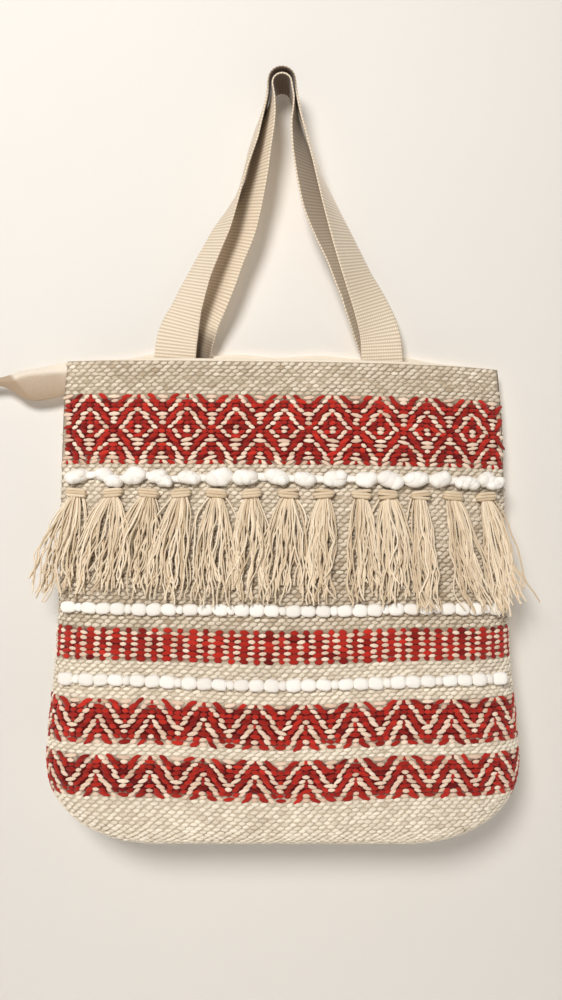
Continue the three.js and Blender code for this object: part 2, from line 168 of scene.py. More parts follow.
def row_line(x, z):
    """Height at x of a row that crosses the middle of the bag at z."""
    skew = hem_skew(x) * clamp01(1 - (HEM_Z - z) / SKEW_REACH)
    share = clamp01((ROW_RISE["from"] - z) / (ROW_RISE["from"] - ROW_RISE["full"]))
    return z + skew + ROW_RISE["height"] * share * ease(clamp01(np.abs(x) / ROW_RISE["half"]))


def row_height(x, z):
    return float(row_line(np.array(x), z))


def base_line(x, inset=0.0):
    share = clamp01((np.abs(x) - BASE_FLAT) / (CORNER_WIDTH - inset))
    return BASE_Z + inset + (CORNER_HEIGHT - inset) * (1 - np.sqrt(1 - share**2))


def fold_depth(side, x, z):
    depth = 0.0
    for name, fold_x, drop, wide, tall, deep in FOLDS:
        if name == side:
            off = ((x - fold_x) / wide) ** 2 + ((HEM_Z - z - drop) / tall) ** 2
            depth = depth + deep * np.exp(-2 * off)
    return depth


def bulge(side, x, z, inset):
    share = clamp01(np.abs(x) / (body("half_width", z) - inset))
    square = (1 - share ** body("flatness", z)) ** body("roundness", z)
    low = clamp01((z - base_line(x, inset)) / FOLD_UNDER[side])
    under = (1 - (1 - low) ** FOLD_POWER) ** (1 / FOLD_POWER)
    return (body(side, z) - inset - fold_depth(side, x, z)) * square * under


def seam_half_gap(x, z):
    near = ease(clamp01((-x / body("half_width", z) - SEAM_OPEN["from"]) / (1 - SEAM_OPEN["from"])))
    high = 1 - ease(clamp01((HEM_Z - z - SEAM_OPEN["full"]) / (SEAM_OPEN["closed"] - SEAM_OPEN["full"])))
    return GAP / 2 + SEAM_OPEN["half"] * near * high


def face_y(side, x, z, inset=0.0):
    level = np.minimum(z, hem_line(x))
    return body("seam_y", level) + AWAY[side] * (seam_half_gap(x, level) + bulge(side, x, level, inset))


def face_point(side, across, down, inset):
    """Points of a face by share of its half width and share of its height."""
    x = across * BODY["half_width"][0]
    for _ in range(SETTLING_ROUNDS):
        z = mix(hem_line(x), base_line(x, inset), down)
        x = across * (body("half_width", z) - inset)
    return np.stack(np.broadcast_arrays(x, face_y(side, x, z, inset), z), axis=-1)


def level_point(side, across, level):
    """Points along one row of weft. The front's rows run to the right, the back's to the left."""
    x = -AWAY[side] * across * body("half_width", level)
    z = row_line(x, level)
    return np.stack(np.broadcast_arrays(x, face_y(side, x, z), z), axis=-1)


def fold_point(side, across, low):
    """Points along a row that follows the base seam, where the face turns under."""
    x = -AWAY[side] * across * BODY["half_width"][-1]
    for _ in range(SETTLING_ROUNDS):
        z = base_line(x) + low * FOLD_UNDER[side]
        x = -AWAY[side] * across * body("half_width", z)
    return np.stack(np.broadcast_arrays(x, face_y(side, x, z), z), axis=-1)


def ahead_y(x, z):
    """Depth just in front of the front face, for trim."""
    side = TRIM_WITHIN * body("half_width", z)
    return face_y("front", np.clip(x, -side, side), z) - GAP


def unit(vectors):
    return vectors / np.maximum(np.linalg.norm(vectors, axis=-1, keepdims=True), 1e-12)


def lengths_along(line):
    """Distance from the start of a line of points to each of them."""
    return np.concatenate([[0], np.cumsum(np.linalg.norm(np.diff(line, axis=0), axis=1))])


# Meshes


def mesh_object(name, points, faces=(), edges=(), **values):
    """A mesh object from points in millimetres. values are numbers or vectors for each point."""
    mesh = bpy.data.meshes.new(name)
    points = np.asarray(points, float).reshape(-1, 3)
    mesh.from_pydata((points * MM).tolist(), edges, faces)
    for key, value in values.items():
        value = np.asarray(value, np.float32)
        kind = "FLOAT_VECTOR" if value.ndim == 2 else "FLOAT"
        layer = mesh.attributes.new(key, kind, "POINT")
        layer.data.foreach_set("vector" if value.ndim == 2 else "value", value.ravel())
    if len(mesh.polygons):
        mesh.polygons.foreach_set("use_smooth", [True] * len(mesh.polygons))
    mesh.update()
    piece = bpy.data.objects.new(name, mesh)
    bpy.context.scene.collection.objects.link(piece)
    return piece


def wall_faces(rows, columns):
    """Faces of a closed wall between an outer and an inner grid of points."""
    index = np.arange(rows * columns).reshape(rows, columns)
    back = rows * columns
    a, b, c, d = index[:-1, :-1], index[1:, :-1], index[1:, 1:], index[:-1, 1:]
    outer = np.stack([a, b, c, d], -1).reshape(-1, 4)
    inner = outer[:, ::-1] + back
    faces = [outer, inner]
    for line, turned in (
        (index[0], False),
        (index[-1], True),
        (index[:, 0], True),
        (index[:, -1], False),
    ):
        rim = np.stack([line[:-1], line[1:], line[1:] + back, line[:-1] + back], -1)
        faces.append(rim[:, ::-1] if turned else rim)
    return np.concatenate(faces).tolist()


def tube_faces(rings, sides):
    """Faces of a closed skin over rings of points, with flat ends."""
    index = np.arange(rings * sides).reshape(rings, sides)
    after = np.roll(index, -1, axis=1)
    skin = np.stack([index[:-1], index[1:], after[1:], after[:-1]], -1).reshape(-1, 4)
    return skin.tolist() + [index[0].tolist(), index[-1][::-1].tolist()]


# Node trees


def add_node(tree, kind, inputs=None, **settings):
    """One node with its settings, and its inputs as values or as other nodes' outputs."""
    node = tree.nodes.new(kind)
    for key, value in settings.items():
        setattr(node, key, value)
    for key, value in (inputs or {}).items():
        socket = node.inputs[key]
        if isinstance(value, bpy.types.NodeSocket):
            tree.links.new(value, socket)
        else:
            socket.default_value = value
    return node


def calc(tree, operation, a, b=0.0, c=0.0):
    node = add_node(tree, "ShaderNodeMath", {0: a, 1: b, 2: c}, operation=operation)
    return node.outputs[0]


def named_value(tree, name, kind="FLOAT"):
    node = add_node(tree, "GeometryNodeInputNamedAttribute", {"Name": name}, data_type=kind)
    return node.outputs["Attribute"]


NOISE_MIDDLE = 0.5


def around_middle(tree, noise, height):
    """A noise's swing to both sides of its middle, times a height."""
    return calc(tree, "MULTIPLY", calc(tree, "SUBTRACT", noise, NOISE_MIDDLE), height)


def axes_of_place(tree):
    place = add_node(tree, "GeometryNodeInputPosition")
    return add_node(tree, "ShaderNodeSeparateXYZ", {0: place.outputs[0]}).outputs


def move(tree, geometry, **inputs):
    """Moves points to a Position or by an Offset."""
    return add_node(tree, "GeometryNodeSetPosition", {"Geometry": geometry, **inputs}).outputs[0]


def push_out(tree, geometry, distance):
    """Moves points along their normals."""
    normal = add_node(tree, "GeometryNodeInputNormal").outputs[0]
    push = add_node(tree, "ShaderNodeVectorMath", {0: normal, "Scale": distance}, operation="SCALE")
    return move(tree, geometry, Offset=push.outputs[0])


def lay_copies(tree, points, shape):
    """A copy of a shape on each point, by the turn and the size that the point carries."""
    turn = add_node(tree, "FunctionNodeEulerToRotation", {0: named_value(tree, "turn", "FLOAT_VECTOR")})
    size = named_value(tree, "size", "FLOAT_VECTOR")
    inputs = {"Points": points, "Instance": shape, "Rotation": turn.outputs[0], "Scale": size}
    return add_node(tree, "GeometryNodeInstanceOnPoints", inputs).outputs[0]


def blend_colours(tree, share, a, b, **settings):
    inputs = {"Factor": share, "A": a, "B": b}
    return add_node(tree, "ShaderNodeMix", inputs, data_type="RGBA", **settings).outputs["Result"]


def geometry_tree(name, sizes):
    """An empty geometry tree with a geometry input, the named sizes and a yarn material."""
    tree = bpy.data.node_groups.new(name, "GeometryNodeTree")
    face = tree.interface
    face.new_socket("Geometry", in_out="INPUT", socket_type="NodeSocketGeometry")
    for key, value in sizes.items():
        kind = "NodeSocketInt" if isinstance(value, int) else "NodeSocketFloat"
        face.new_socket(key, in_out="INPUT", socket_type=kind).default_value = value
    face.new_socket("Yarn", in_out="INPUT", socket_type="NodeSocketMaterial")
    face.new_socket("Geometry", in_out="OUTPUT", socket_type="NodeSocketGeometry")
    given = tree.nodes.new("NodeGroupInput").outputs
    return tree, given


def end_tree(tree, given, geometry):
    """Every tree ends in realized, smooth geometry of one yarn."""
    real = add_node(tree, "GeometryNodeRealizeInstances", {"Geometry": geometry})
    smooth = add_node(tree, "GeometryNodeSetShadeSmooth", {"Geometry": real.outputs[0]})
    dressed = add_node(
        tree, "GeometryNodeSetMaterial", {"Geometry": smooth.outputs[0], "Material": given["Yarn"]}
    )
    out = tree.nodes.new("NodeGroupOutput")
    tree.links.new(dressed.outputs[0], out.inputs["Geometry"])
    return tree


def grain_tree():
    """Spindle-shaped floats of yarn on points that carry a turn and a size."""
    tree, given = geometry_tree("woven_floats", {"Around": 6, "Along": 4, "Point": 0.3, "Dip": 0.3})
    sizes = {"Segments": given["Around"], "Rings": given["Along"], "Radius": 1.0}
    ball = add_node(tree, "GeometryNodeMeshUVSphere", sizes)
    wrapped = add_node(
        tree,
        "GeometryNodeStoreNamedAttribute",
        {"Geometry": ball.outputs["Mesh"], "Name": "UVMap", "Value": ball.outputs["UV Map"]},
        data_type="FLOAT2",
        domain="CORNER",
    )
    turned = {"Geometry": wrapped.outputs[0], "Rotation": (0.0, math.pi / 2, 0.0)}
    lying = add_node(tree, "GeometryNodeTransform", turned)
    place = axes_of_place(tree)
    square = calc(tree, "MULTIPLY", place["X"], place["X"])
    taper = calc(tree, "SUBTRACT", 1.0, calc(tree, "MULTIPLY", given["Point"], square))
    sunk = calc(tree, "MULTIPLY", given["Dip"], square)
    deep = calc(tree, "MULTIPLY", place["Y"], taper)
    high = calc(tree, "SUBTRACT", calc(tree, "MULTIPLY", place["Z"], taper), sunk)
    shaped = add_node(tree, "ShaderNodeCombineXYZ", {"X": place["X"], "Y": deep, "Z": high})
    grain = move(tree, lying.outputs[0], Position=shaped.outputs[0])
    return end_tree(tree, given, lay_copies(tree, given["Geometry"], grain))


def strand_tree():
    """Round yarn along polylines whose points carry their thickness."""
    tree, given = geometry_tree("yarn_strands", {"Around": 5})
    line = add_node(tree, "GeometryNodeMeshToCurve", {"Mesh": given["Geometry"]})
    sizes = {"Resolution": given["Around"], "Radius": 1.0}
    ring = add_node(tree, "GeometryNodeCurvePrimitiveCircle", sizes)
    tube = add_node(
        tree,
        "GeometryNodeCurveToMesh",
        {
            "Curve": line.outputs[0],
            "Profile Curve": ring.outputs[0],
            "Scale": named_value(tree, "thick"),
            "Fill Caps": True,
        },
    )
    return end_tree(tree, given, tube.outputs[0])


def bobble_tree():
    """Puffed lumps of loose roving on points that carry a turn and a size."""
    sizes = {"Fineness": 4, "Square": 0.8, "Uneven": 0.0009, "Grain": 260.0}
    tree, given = geometry_tree("roving_lumps", sizes)
    ball_sizes = {"Radius": 1.0, "Subdivisions": given["Fineness"]}
    round_ball = add_node(tree, "GeometryNodeMeshIcoSphere", ball_sizes)
    place = axes_of_place(tree)
    squared = add_node(tree, "ShaderNodeCombineXYZ")
    for axis in "XYZ":
        length = calc(tree, "POWER", calc(tree, "ABSOLUTE", place[axis]), given["Square"])
        signed = calc(tree, "MULTIPLY", calc(tree, "SIGN", place[axis]), length)
        tree.links.new(signed, squared.inputs[axis])
    ball = move(tree, round_ball.outputs[0], Position=squared.outputs[0])
    laid = lay_copies(tree, given["Geometry"], ball)
    real = add_node(tree, "GeometryNodeRealizeInstances", {"Geometry": laid})
    noise = add_node(tree, "ShaderNodeTexNoise", {"Scale": given["Grain"], "Detail": 0.8})
    swing = around_middle(tree, noise.outputs[0], given["Uneven"])
    return end_tree(tree, given, push_out(tree, real.outputs[0], swing))


# Share of a rib's height that is lost between the warp columns.
COLUMN_RELIEF = 0.4


def webbing_tree():
    """Raises the ribs of a webbing strap, and the warp columns along them. Its tone follows them as painted
    shade, darker between the ribs.
    """
    tree, given = geometry_tree("webbing_ribs", {"Rib": 3.0, "Column": 2.2, "Relief": 0.0006})
    rounds = []
    for name, size in (("along", "Rib"), ("across", "Column")):
        count = calc(tree, "DIVIDE", named_value(tree, name), given[size])
        rounds.append(calc(tree, "ABSOLUTE", calc(tree, "SINE", calc(tree, "MULTIPLY", count, math.pi))))
    share = calc(tree, "ADD", 1 - COLUMN_RELIEF, calc(tree, "MULTIPLY", rounds[1], COLUMN_RELIEF))
    swell = calc(tree, "MULTIPLY", rounds[0], share)
    # Painted shade: the tone is lighter on the ribs and darker in the grooves between them.
    kept = add_node(
        tree,
        "GeometryNodeStoreNamedAttribute",
        {"Geometry": given["Geometry"], "Name": "tone", "Value": swell},
        data_type="FLOAT",
        domain="POINT",
    )
    lift = calc(tree, "MULTIPLY", calc(tree, "MULTIPLY", swell, named_value(tree, "face")), given["Relief"])
    return end_tree(tree, given, push_out(tree, kept.outputs[0], lift))


def grow(piece, tree, material, drop=(), **sizes):
    """Runs a tree on a piece and keeps the result as its plain mesh."""
    made = piece.modifiers.new(tree.name, "NODES")
    made.node_group = tree
    for item in tree.interface.items_tree:
        if item.in_out == "INPUT" and item.name in sizes:
            made[item.identifier] = sizes[item.name]
        if item.in_out == "INPUT" and item.name == "Yarn":
            made[item.identifier] = material
    graph = bpy.context.evaluated_depsgraph_get()
    mesh = bpy.data.meshes.new_from_object(
        piece.evaluated_get(graph), preserve_all_data_layers=True, depsgraph=graph
    )
    piece.modifiers.clear()
    piece.data = mesh
    for key in drop:
        if key in mesh.attributes:
            mesh.attributes.remove(mesh.attributes[key])
    return piece


# Finishes


def srgb(red, green, blue):
    def linear(value):
        share = value / 255
        return share / 12.92 if share <= 0.04045 else ((share + 0.055) / 1.055) ** 2.4

    return (linear(red), linear(green), linear(blue), 1.0)


def shader_group(name, inputs, outputs):
    tree = bpy.data.node_groups.new(name, "ShaderNodeTree")
    for key, kind, value in inputs:
        tree.interface.new_socket(key, in_out="INPUT", socket_type=kind).default_value = value
    for key, kind in outputs:
        tree.interface.new_socket(key, in_out="OUTPUT", socket_type=kind)
    return tree, tree.nodes.new("NodeGroupInput").outputs, tree.nodes.new("NodeGroupOutput")


PATCH_NOISE = {"Scale": 18.0, "Detail": 3.0}
FUZZ_NOISE = {"Scale": 1400.0, "Detail": 2.0}
FUZZ_SHARE = 0.55


def cotton_tint_group():
    """Uneven dye: each float's own tone, soft patches and fine fuzz."""
    tree, given, out = shader_group(
        "cotton_tint",
        (
            ("Tone", "NodeSocketFloat", 0.5),
            ("Light", "NodeSocketColor", (1, 1, 1, 1)),
            ("Dark", "NodeSocketColor", (0, 0, 0, 1)),
            ("Patches", "NodeSocketFloat", 0.3),
        ),
        (("Colour", "NodeSocketColor"), ("Fuzz", "NodeSocketFloat")),
    )
    place = add_node(tree, "ShaderNodeTexCoord").outputs["Object"]
    patch = add_node(tree, "ShaderNodeTexNoise", {"Vector": place, **PATCH_NOISE})
    fuzz = add_node(tree, "ShaderNodeTexNoise", {"Vector": place, **FUZZ_NOISE})
    swing = around_middle(tree, patch.outputs["Fac"], given["Patches"])
    grainy = around_middle(tree, fuzz.outputs["Fac"], FUZZ_SHARE)
    share = calc(tree, "ADD", calc(tree, "ADD", given["Tone"], swing), grainy)
    tint = blend_colours(tree, share, given["Dark"], given["Light"], clamp_factor=True)
    tree.links.new(tint, out.inputs["Colour"])
    tree.links.new(fuzz.outputs["Fac"], out.inputs["Fuzz"])
    return tree


PLIES = 3.0
FULL_TURN = 6.2832
PLY_HEIGHT = 0.7
FUZZ_HEIGHT = 0.6


def yarn_twist_group():
    """Height of plied yarn from the float's own wrap, with loose fibres over it."""
    tree, given, out = shader_group(
        "yarn_twist",
        (("Turns", "NodeSocketFloat", 2.5), ("Fuzz", "NodeSocketFloat", 0.5)),
        (("Height", "NodeSocketFloat"),),
    )
    wrap = add_node(tree, "ShaderNodeUVMap", uv_map="UVMap")
    split = add_node(tree, "ShaderNodeSeparateXYZ", {0: wrap.outputs[0]})
    along = calc(tree, "MULTIPLY", split.outputs["Y"], given["Turns"])
    around = calc(tree, "MULTIPLY", split.outputs["X"], PLIES)
    angle = calc(tree, "MULTIPLY", calc(tree, "ADD", along, around), FULL_TURN)
    ply = calc(tree, "ABSOLUTE", calc(tree, "SINE", angle))
    raised = calc(tree, "MULTIPLY", ply, PLY_HEIGHT)
    height = calc(tree, "ADD", raised, calc(tree, "MULTIPLY", given["Fuzz"], FUZZ_HEIGHT))
    tree.links.new(height, out.inputs["Height"])
    return tree


TINT = cotton_tint_group()
TWIST = yarn_twist_group()
SHEEN_ROUGHNESS = 0.6
COTTON_SPECULAR = 0.15
BUMP_DISTANCE = 0.00025
ROUGHNESS = {"least": 0.82, "fuzz": 0.15}


def cotton(name, light, dark, patches=0.3, twist=0.0, bump=0.4, sheen=0.2):
    """A cotton yarn or cloth finish. twist adds the ply of a float of yarn."""
    material = bpy.data.materials.new(name)
    material.use_nodes = True
    tree = material.node_tree
    shader = tree.nodes["Principled BSDF"]
    shader.inputs["Sheen Weight"].default_value = sheen
    shader.inputs["Sheen Roughness"].default_value = SHEEN_ROUGHNESS
    shader.inputs["Specular IOR Level"].default_value = COTTON_SPECULAR
    read = add_node(tree, "ShaderNodeAttribute", attribute_name="tone")
    tint = add_node(tree, "ShaderNodeGroup", node_tree=TINT)
    tree.links.new(read.outputs["Fac"], tint.inputs["Tone"])
    tint.inputs["Light"].default_value = light
    tint.inputs["Dark"].default_value = dark
    tint.inputs["Patches"].default_value = patches
    tree.links.new(tint.outputs["Colour"], shader.inputs["Base Color"])
    height = tint.outputs["Fuzz"]
    if twist:
        ply = add_node(tree, "ShaderNodeGroup", node_tree=TWIST)
        ply.inputs["Turns"].default_value = twist
        tree.links.new(height, ply.inputs["Fuzz"])
        height = ply.outputs["Height"]
    bumps = {"Strength": bump, "Distance": BUMP_DISTANCE, "Height": height}
    relief = add_node(tree, "ShaderNodeBump", bumps)
    tree.links.new(relief.outputs["Normal"], shader.inputs["Normal"])
    rougher = calc(tree, "MULTIPLY", tint.outputs["Fuzz"], ROUGHNESS["fuzz"])
    matt = calc(tree, "ADD", rougher, ROUGHNESS["least"])
    tree.links.new(matt, shader.inputs["Roughness"])
    return material


def stained(base, name, attribute, colour):
    """A finish that turns to another colour where the piece's attribute says so."""
    material = base.copy()
    material.name = name
    tree = material.node_tree
    shader = tree.nodes["Principled BSDF"]
    plain = shader.inputs["Base Color"].links[0].from_socket
    read = add_node(tree, "ShaderNodeAttribute", attribute_name=attribute)
    tint = blend_colours(tree, read.outputs["Fac"], plain, colour)
    tree.links.new(tint, shader.inputs["Base Color"])
    return material


CREAM_YARN = cotton("cream_weft", srgb(246, 237, 221), srgb(178, 159, 134), twist=2.5)
BAND_CREAM = cotton("cream_weft_beside_red", srgb(247, 226, 206), srgb(206, 172, 148), twist=2.5)
RED_YARN = cotton("red_weft", srgb(198, 46, 32), srgb(104, 7, 4), twist=2.5, sheen=0.12)
# The cloth behind the floats: its darker colour is painted shade in the gaps between them. Behind the red
# bands it is red, for the red weft, and dark with painted shade.
GROUND_CLOTH = cotton("cloth_behind_weft", srgb(230, 217, 196), srgb(122, 104, 82), sheen=0.05)
DYED_CLOTH = stained(GROUND_CLOTH, "cloth_behind_red_weft", "dyed", srgb(90, 9, 6))
TAPE_COTTON = cotton("zip_tape_cotton", srgb(244, 236, 223), srgb(214, 194, 166), patches=0.4)
# The tail's dark colour is for painted shade below its crease and on its turned end.
TAIL_COTTON = cotton("zip_tail_cotton", srgb(237, 227, 214), srgb(171, 149, 125), patches=0.2)
WEBBING_COTTON = cotton("webbing_cotton", srgb(246, 235, 217), srgb(192, 173, 148), patches=0.25)
# Webbing darkened to brown: painted shade, with some wear at the top where it hangs.
WEBBING_WEAR_AND_SHADE = stained(WEBBING_COTTON, "webbing_cotton_worn_and_shaded", "soil", srgb(84, 62, 42))
ROVING = cotton("white_roving", srgb(250, 248, 244), srgb(233, 228, 221), patches=0.5, bump=0.6)
TASSEL_YARN = cotton("tassel_yarn", srgb(244, 229, 206), srgb(196, 172, 139), patches=0.4)
THREAD = cotton("stitch_thread", srgb(240, 228, 204), srgb(214, 198, 168))


# Weave

GRAINS = grain_tree()
STRANDS = strand_tree()
BOBBLES = bobble_tree()
RIBS = webbing_tree()
ACROSS = np.sin(np.linspace(-math.pi / 2, math.pi / 2, 321))


def euler_turns(right, up, out):
    """Turns that lay a grain's length along right, its width along up and its top to out."""
    return np.stack(
        [
            np.arctan2(up[:, 2], out[:, 2]),
            np.arcsin(np.clip(-right[:, 2], -1, 1)),
            np.arctan2(right[:, 1], right[:, 0]),
        ],
        axis=-1,
    )


class Grains:
    """Floats of yarn gathered row by row, for one woven piece."""

    def __init__(self):
        self.rows = []

    def add(self, place, right, up, out, slant, size, tone):
        angle = np.radians(slant)[:, None]
        along = np.cos(angle) * right + np.sin(angle) * up
        above = np.cos(angle) * up - np.sin(angle) * right
        self.rows.append((place, euler_turns(along, above, out), size * MM, tone))

    def piece(self, name, material, **sizes):
        place, turn, size, tone = (np.concatenate(part) for part in zip(*self.rows))
        points = mesh_object(name, place, turn=turn, size=size, tone=tone)
        return grow(points, GRAINS, material, drop=("turn", "size"), **sizes)


class Row:
    """Places, directions and local row height at positions along one row of weft."""

    def __init__(self, side, surface, position, step):
        line = surface(side, ACROSS, position)
        below = surface(side, ACROSS, position - step / 2)
        above = surface(side, ACROSS, position + step / 2)
        reach = lengths_along(line)
        self.reach = reach - reach[len(reach) // 2]
        self.line = line
        self.right = unit(np.gradient(line, axis=0))
        self.down = below - above

    def read(self, field, at):
        return np.stack([np.interp(at, self.reach, field[:, k]) for k in range(3)], axis=-1)

    def frame(self, at):
        right = unit(self.read(self.right, at))
        down = self.read(self.down, at)
        tall = np.linalg.norm(down, axis=-1)
        out = unit(np.cross(down, right))
        up = np.cross(out, right)
        return self.read(self.line, at), right, up, out, tall


CHART_SLANT = 24.0
# Columns about a chart's mirror lines where the floats lie level.
MEETING = 0.6
GROUND_SLANT = 11.0
GROUND_WIDE = 1.95
GROUND_TALL = 0.63
HEM_TALL = 0.6
FOLD_START = 0.3
EDGE_MARGIN = 1.7
FOLD_MARGIN = 1.2
TURN_SLACK = 0.5
# A run of cells longer than the first is split into floats of about the second.
LONGEST_FLOAT = 3
SPLIT_FLOAT = 2
# Floats of yarn by colour: o is the cream ground, p the cream of the bands and # red. Each has
# its middle tone and the spread of that tone.
FLOAT_TONES = {"o": (0.62, 0.14), "p": (0.55, 0.22), "#": (0.55, 0.2)}
# Floats of the charted bands: width, more width for each cell, height and lift. Those of the
# dash band have their height and lift.
CHART_FLOATS = {"p": (1.15, 0.75, 0.52, 0.3), "#": (0.62, 0.78, 0.58, 0.1)}
DASH_FLOATS = {"p": (0.43, 0.3), "#": (0.6, 0.0)}


def column_place(columns, level):
    """Distance along a row from the middle of the face to a column of the pattern."""
    levels, starts, closings = zip(*REPEAT_DRIFT)
    start = np.interp(level, levels, starts)
    closing = np.interp(level, levels, closings)
    share = columns / REPEAT_COLUMNS
    return start + REPEAT_WIDTH * share - closing * share**2


def band_at(level):
    for kind, top, bottom, rows in BANDS:
        if bottom <= level <= top:
            return kind, min(rows - 1, int((top - level) / (top - bottom) * rows))
    return "ground", 0


def chart_colour(kind, row, column):
    half = REPEAT_COLUMNS // 2
    return CHARTS[kind][row][abs((column + half) % REPEAT_COLUMNS - half)]


def chart_slant(kind, row, columns):
    """Slant of the floats of a charted row: along the diagonals, level where they meet."""
    half = REPEAT_COLUMNS / 2
    place = (columns + half) % REPEAT_COLUMNS - half
    meeting = (np.abs(place) < MEETING) | (np.abs(place) > half - MEETING)
    side = np.where(meeting, 0, np.sign(place))
    falling = kind == "diamond" and row < len(CHARTS[kind]) // 2
    return side * (-CHART_SLANT if falling else CHART_SLANT)


def spread_evenly(count, reach):
    return reach * rng.uniform(-1, 1, count)


# How uneven the floats are: shares of width and height, millimetres out, up and along, degrees.
UNEVEN = {"wide": 0.13, "tall": 0.14, "out": 0.28, "up": 0.4, "along": 0.6, "slant": 7}
# A row counts as this tall at most, and floats lie this far into the face.
TALLEST_ROW = 8.0
SUNK_IN = 0.2


def lay_row(grains, row, at, columns_wide, slant, tall=0.5, lift=0.0, thick=1.1, colour="o", tone=None):
    """Lays one grain at each position of a row. grains maps a colour to its piece."""
    place, right, up, out, local = row.frame(at)
    count = len(at)
    if not count:
        return
    wide = np.broadcast_to(columns_wide, count) * REPEAT_WIDTH / REPEAT_COLUMNS / 2
    high = np.minimum(local, TALLEST_ROW) * tall
    wide = wide * (1 + spread_evenly(count, UNEVEN["wide"]))
    high = high * (1 + spread_evenly(count, UNEVEN["tall"]))
    size = np.stack([wide, high, np.full(count, thick)], axis=-1)
    place = place + out * (lift - SUNK_IN + spread_evenly(count, UNEVEN["out"]))[:, None]
    place = place + up * spread_evenly(count, UNEVEN["up"])[:, None]
    place = place + right * spread_evenly(count, UNEVEN["along"])[:, None]
    slants = np.broadcast_to(slant, count) + rng.normal(0, UNEVEN["slant"], count)
    middle, spread = FLOAT_TONES[colour if isinstance(colour, str) else "o"]
    tones = np.clip(rng.normal(middle if tone is None else tone, spread, count), 0, 1)
    colours = np.broadcast_to(colour, count)
    laid = (place, right, up, out, slants, size, tones)
    for key in np.unique(colours):
        chosen = colours == key
        grains[str(key)].add(*(part[chosen] for part in laid))


def in_face(side, row, at):
    """Keeps the positions that lie on the face, above where it turns under."""
    at = at[(at > row.reach[0] + EDGE_MARGIN) & (at < row.reach[-1] - EDGE_MARGIN)]
    place = row.read(row.line, at)
    return at[place[:, 2] >= base_line(place[:, 0]) + FOLD_START * FOLD_UNDER[side] - TURN_SLACK]


# The front cloth is greyest behind the tassels, where it is painted shadow of the tassels, grey at the hem
# and pale near the base: level and tone.
CLOTH_TONES = (
    (-690, 0.84), (-645, 0.82), (-600, 0.8), (-530, 0.78), (-490, 0.44), (-445, 0.32), (-400, 0.56),
    (-350, 0.6), (-285, 0.44), (-254, 0.48),
)
BACK_TONE = 0.66
FOLD_TONE = 0.82


def cloth_tone(side, level):
    levels, tones = zip(*CLOTH_TONES)
    return np.interp(level, levels, tones) if side == "front" else np.full(np.shape(level), BACK_TONE)


# Columns past both edges of the face: of the ground, of a chart and of the dashes.
GROUND_SPAN = (-76, 78)
CHART_SPAN = (-70, 76)
DASH_SPAN = (-72, 78)
SAMPLES = 200


def ground_columns(number):
    return np.arange(*GROUND_SPAN, 2) + number % 2


def base_levels(side, top):
    """Levels from top to the turn, evenly spaced down the middle of the face, and two rows past
    it for the sides, where the rows lie higher."""
    levels = np.linspace(top, BASE_Z + FOLD_START * FOLD_UNDER[side], SAMPLES)
    depth = face_y(side, np.zeros(SAMPLES), levels)
    reach = lengths_along(np.stack([levels, depth], axis=-1))
    count = round(reach[-1] / GROUND_PITCH)
    edges = np.interp(np.linspace(0, reach[-1], count + 1), reach, levels)
    last = edges[-2] - edges[-1]
    return np.append(edges, [edges[-1] - last, edges[-1] - 2 * last])


# The hem's seam draws its row in: half height of the furrow, depth, and height lost by floats.
HEM_FURROW = {"half": 2.2, "deep": 0.75, "flatter": 0.1}


def weave_ground(side, grains, edges, first):
    for number, (top, bottom) in enumerate(zip(edges[:-1], edges[1:])):
        level = (top + bottom) / 2
        row = Row(side, level_point, level, top - bottom)
        at = in_face(side, row, column_place(ground_columns(first + number), level))
        sunk = math.exp(-(((level - HEM_SEAM_Z) / HEM_FURROW["half"]) ** 2))
        tall = (HEM_TALL if level > HEM_BELOW else GROUND_TALL) - HEM_FURROW["flatter"] * sunk
        lift = -HEM_FURROW["deep"] * sunk
        tone = cloth_tone(side, level)
        lay_row(grains, row, at, GROUND_WIDE, GROUND_SLANT, tall, lift, tone=tone)


def runs_of(colours):
    """Neighbouring cells of one colour, split into floats: first cell and length."""
    found = []
    start = 0
    for k in range(1, len(colours) + 1):
        if k == len(colours) or colours[k] != colours[start]:
            length = k - start
            parts = 1 if length <= LONGEST_FLOAT else math.ceil(length / SPLIT_FLOAT)
            found += [(start + length * part / parts, length / parts) for part in range(parts)]
            start = k
    return found


def weave_chart(grains, kind, top, bottom, count):
    step = (top - bottom) / count
    first, last = CHART_SPAN
    for number in range(count):
        level = top - (number + 0.5) * step
        row = Row("front", level_point, level, step)
        colours = [chart_colour(kind, number, column) for column in range(first, last)]
        for colour, cell in (("#", "#"), ("p", "o")):
            floats = [run for run in runs_of(colours) if colours[int(run[0])] == cell]
            middle = np.array([first + start + (length - 1) / 2 for start, length in floats])
            cells = np.array([length for _, length in floats])
            slant = chart_slant(kind, number, middle)
            at = column_place(middle, level)
            kept = np.isin(at, in_face("front", row, at))
            wide, wider, tall, lift = CHART_FLOATS[colour]
            across = wide + wider * cells[kept]
            lay_row(grains, row, at[kept], across, slant[kept], tall, lift, colour=colour)


# Red dashes in the first and last row of their band are narrower.
END_DASH = 0.72


def weave_dashes(grains, top, bottom, count):
    step = (top - bottom) / count
    repeats = np.arange(*DASH_SPAN, DASH_EVERY)
    for centre, wide, colour in DASHES:
        between = colour == "p"
        tall, lift = DASH_FLOATS[colour]
        for number in range(count - 1 if between else count):
            level = top - (number + (1.0 if between else 0.5)) * step
            row = Row("front", level_point, level, step)
            at = in_face("front", row, column_place(repeats + centre, level))
            end = colour == "#" and number in (0, count - 1)
            lay_row(grains, row, at, wide * (END_DASH if end else 1), 0.0, tall, lift, colour=colour)


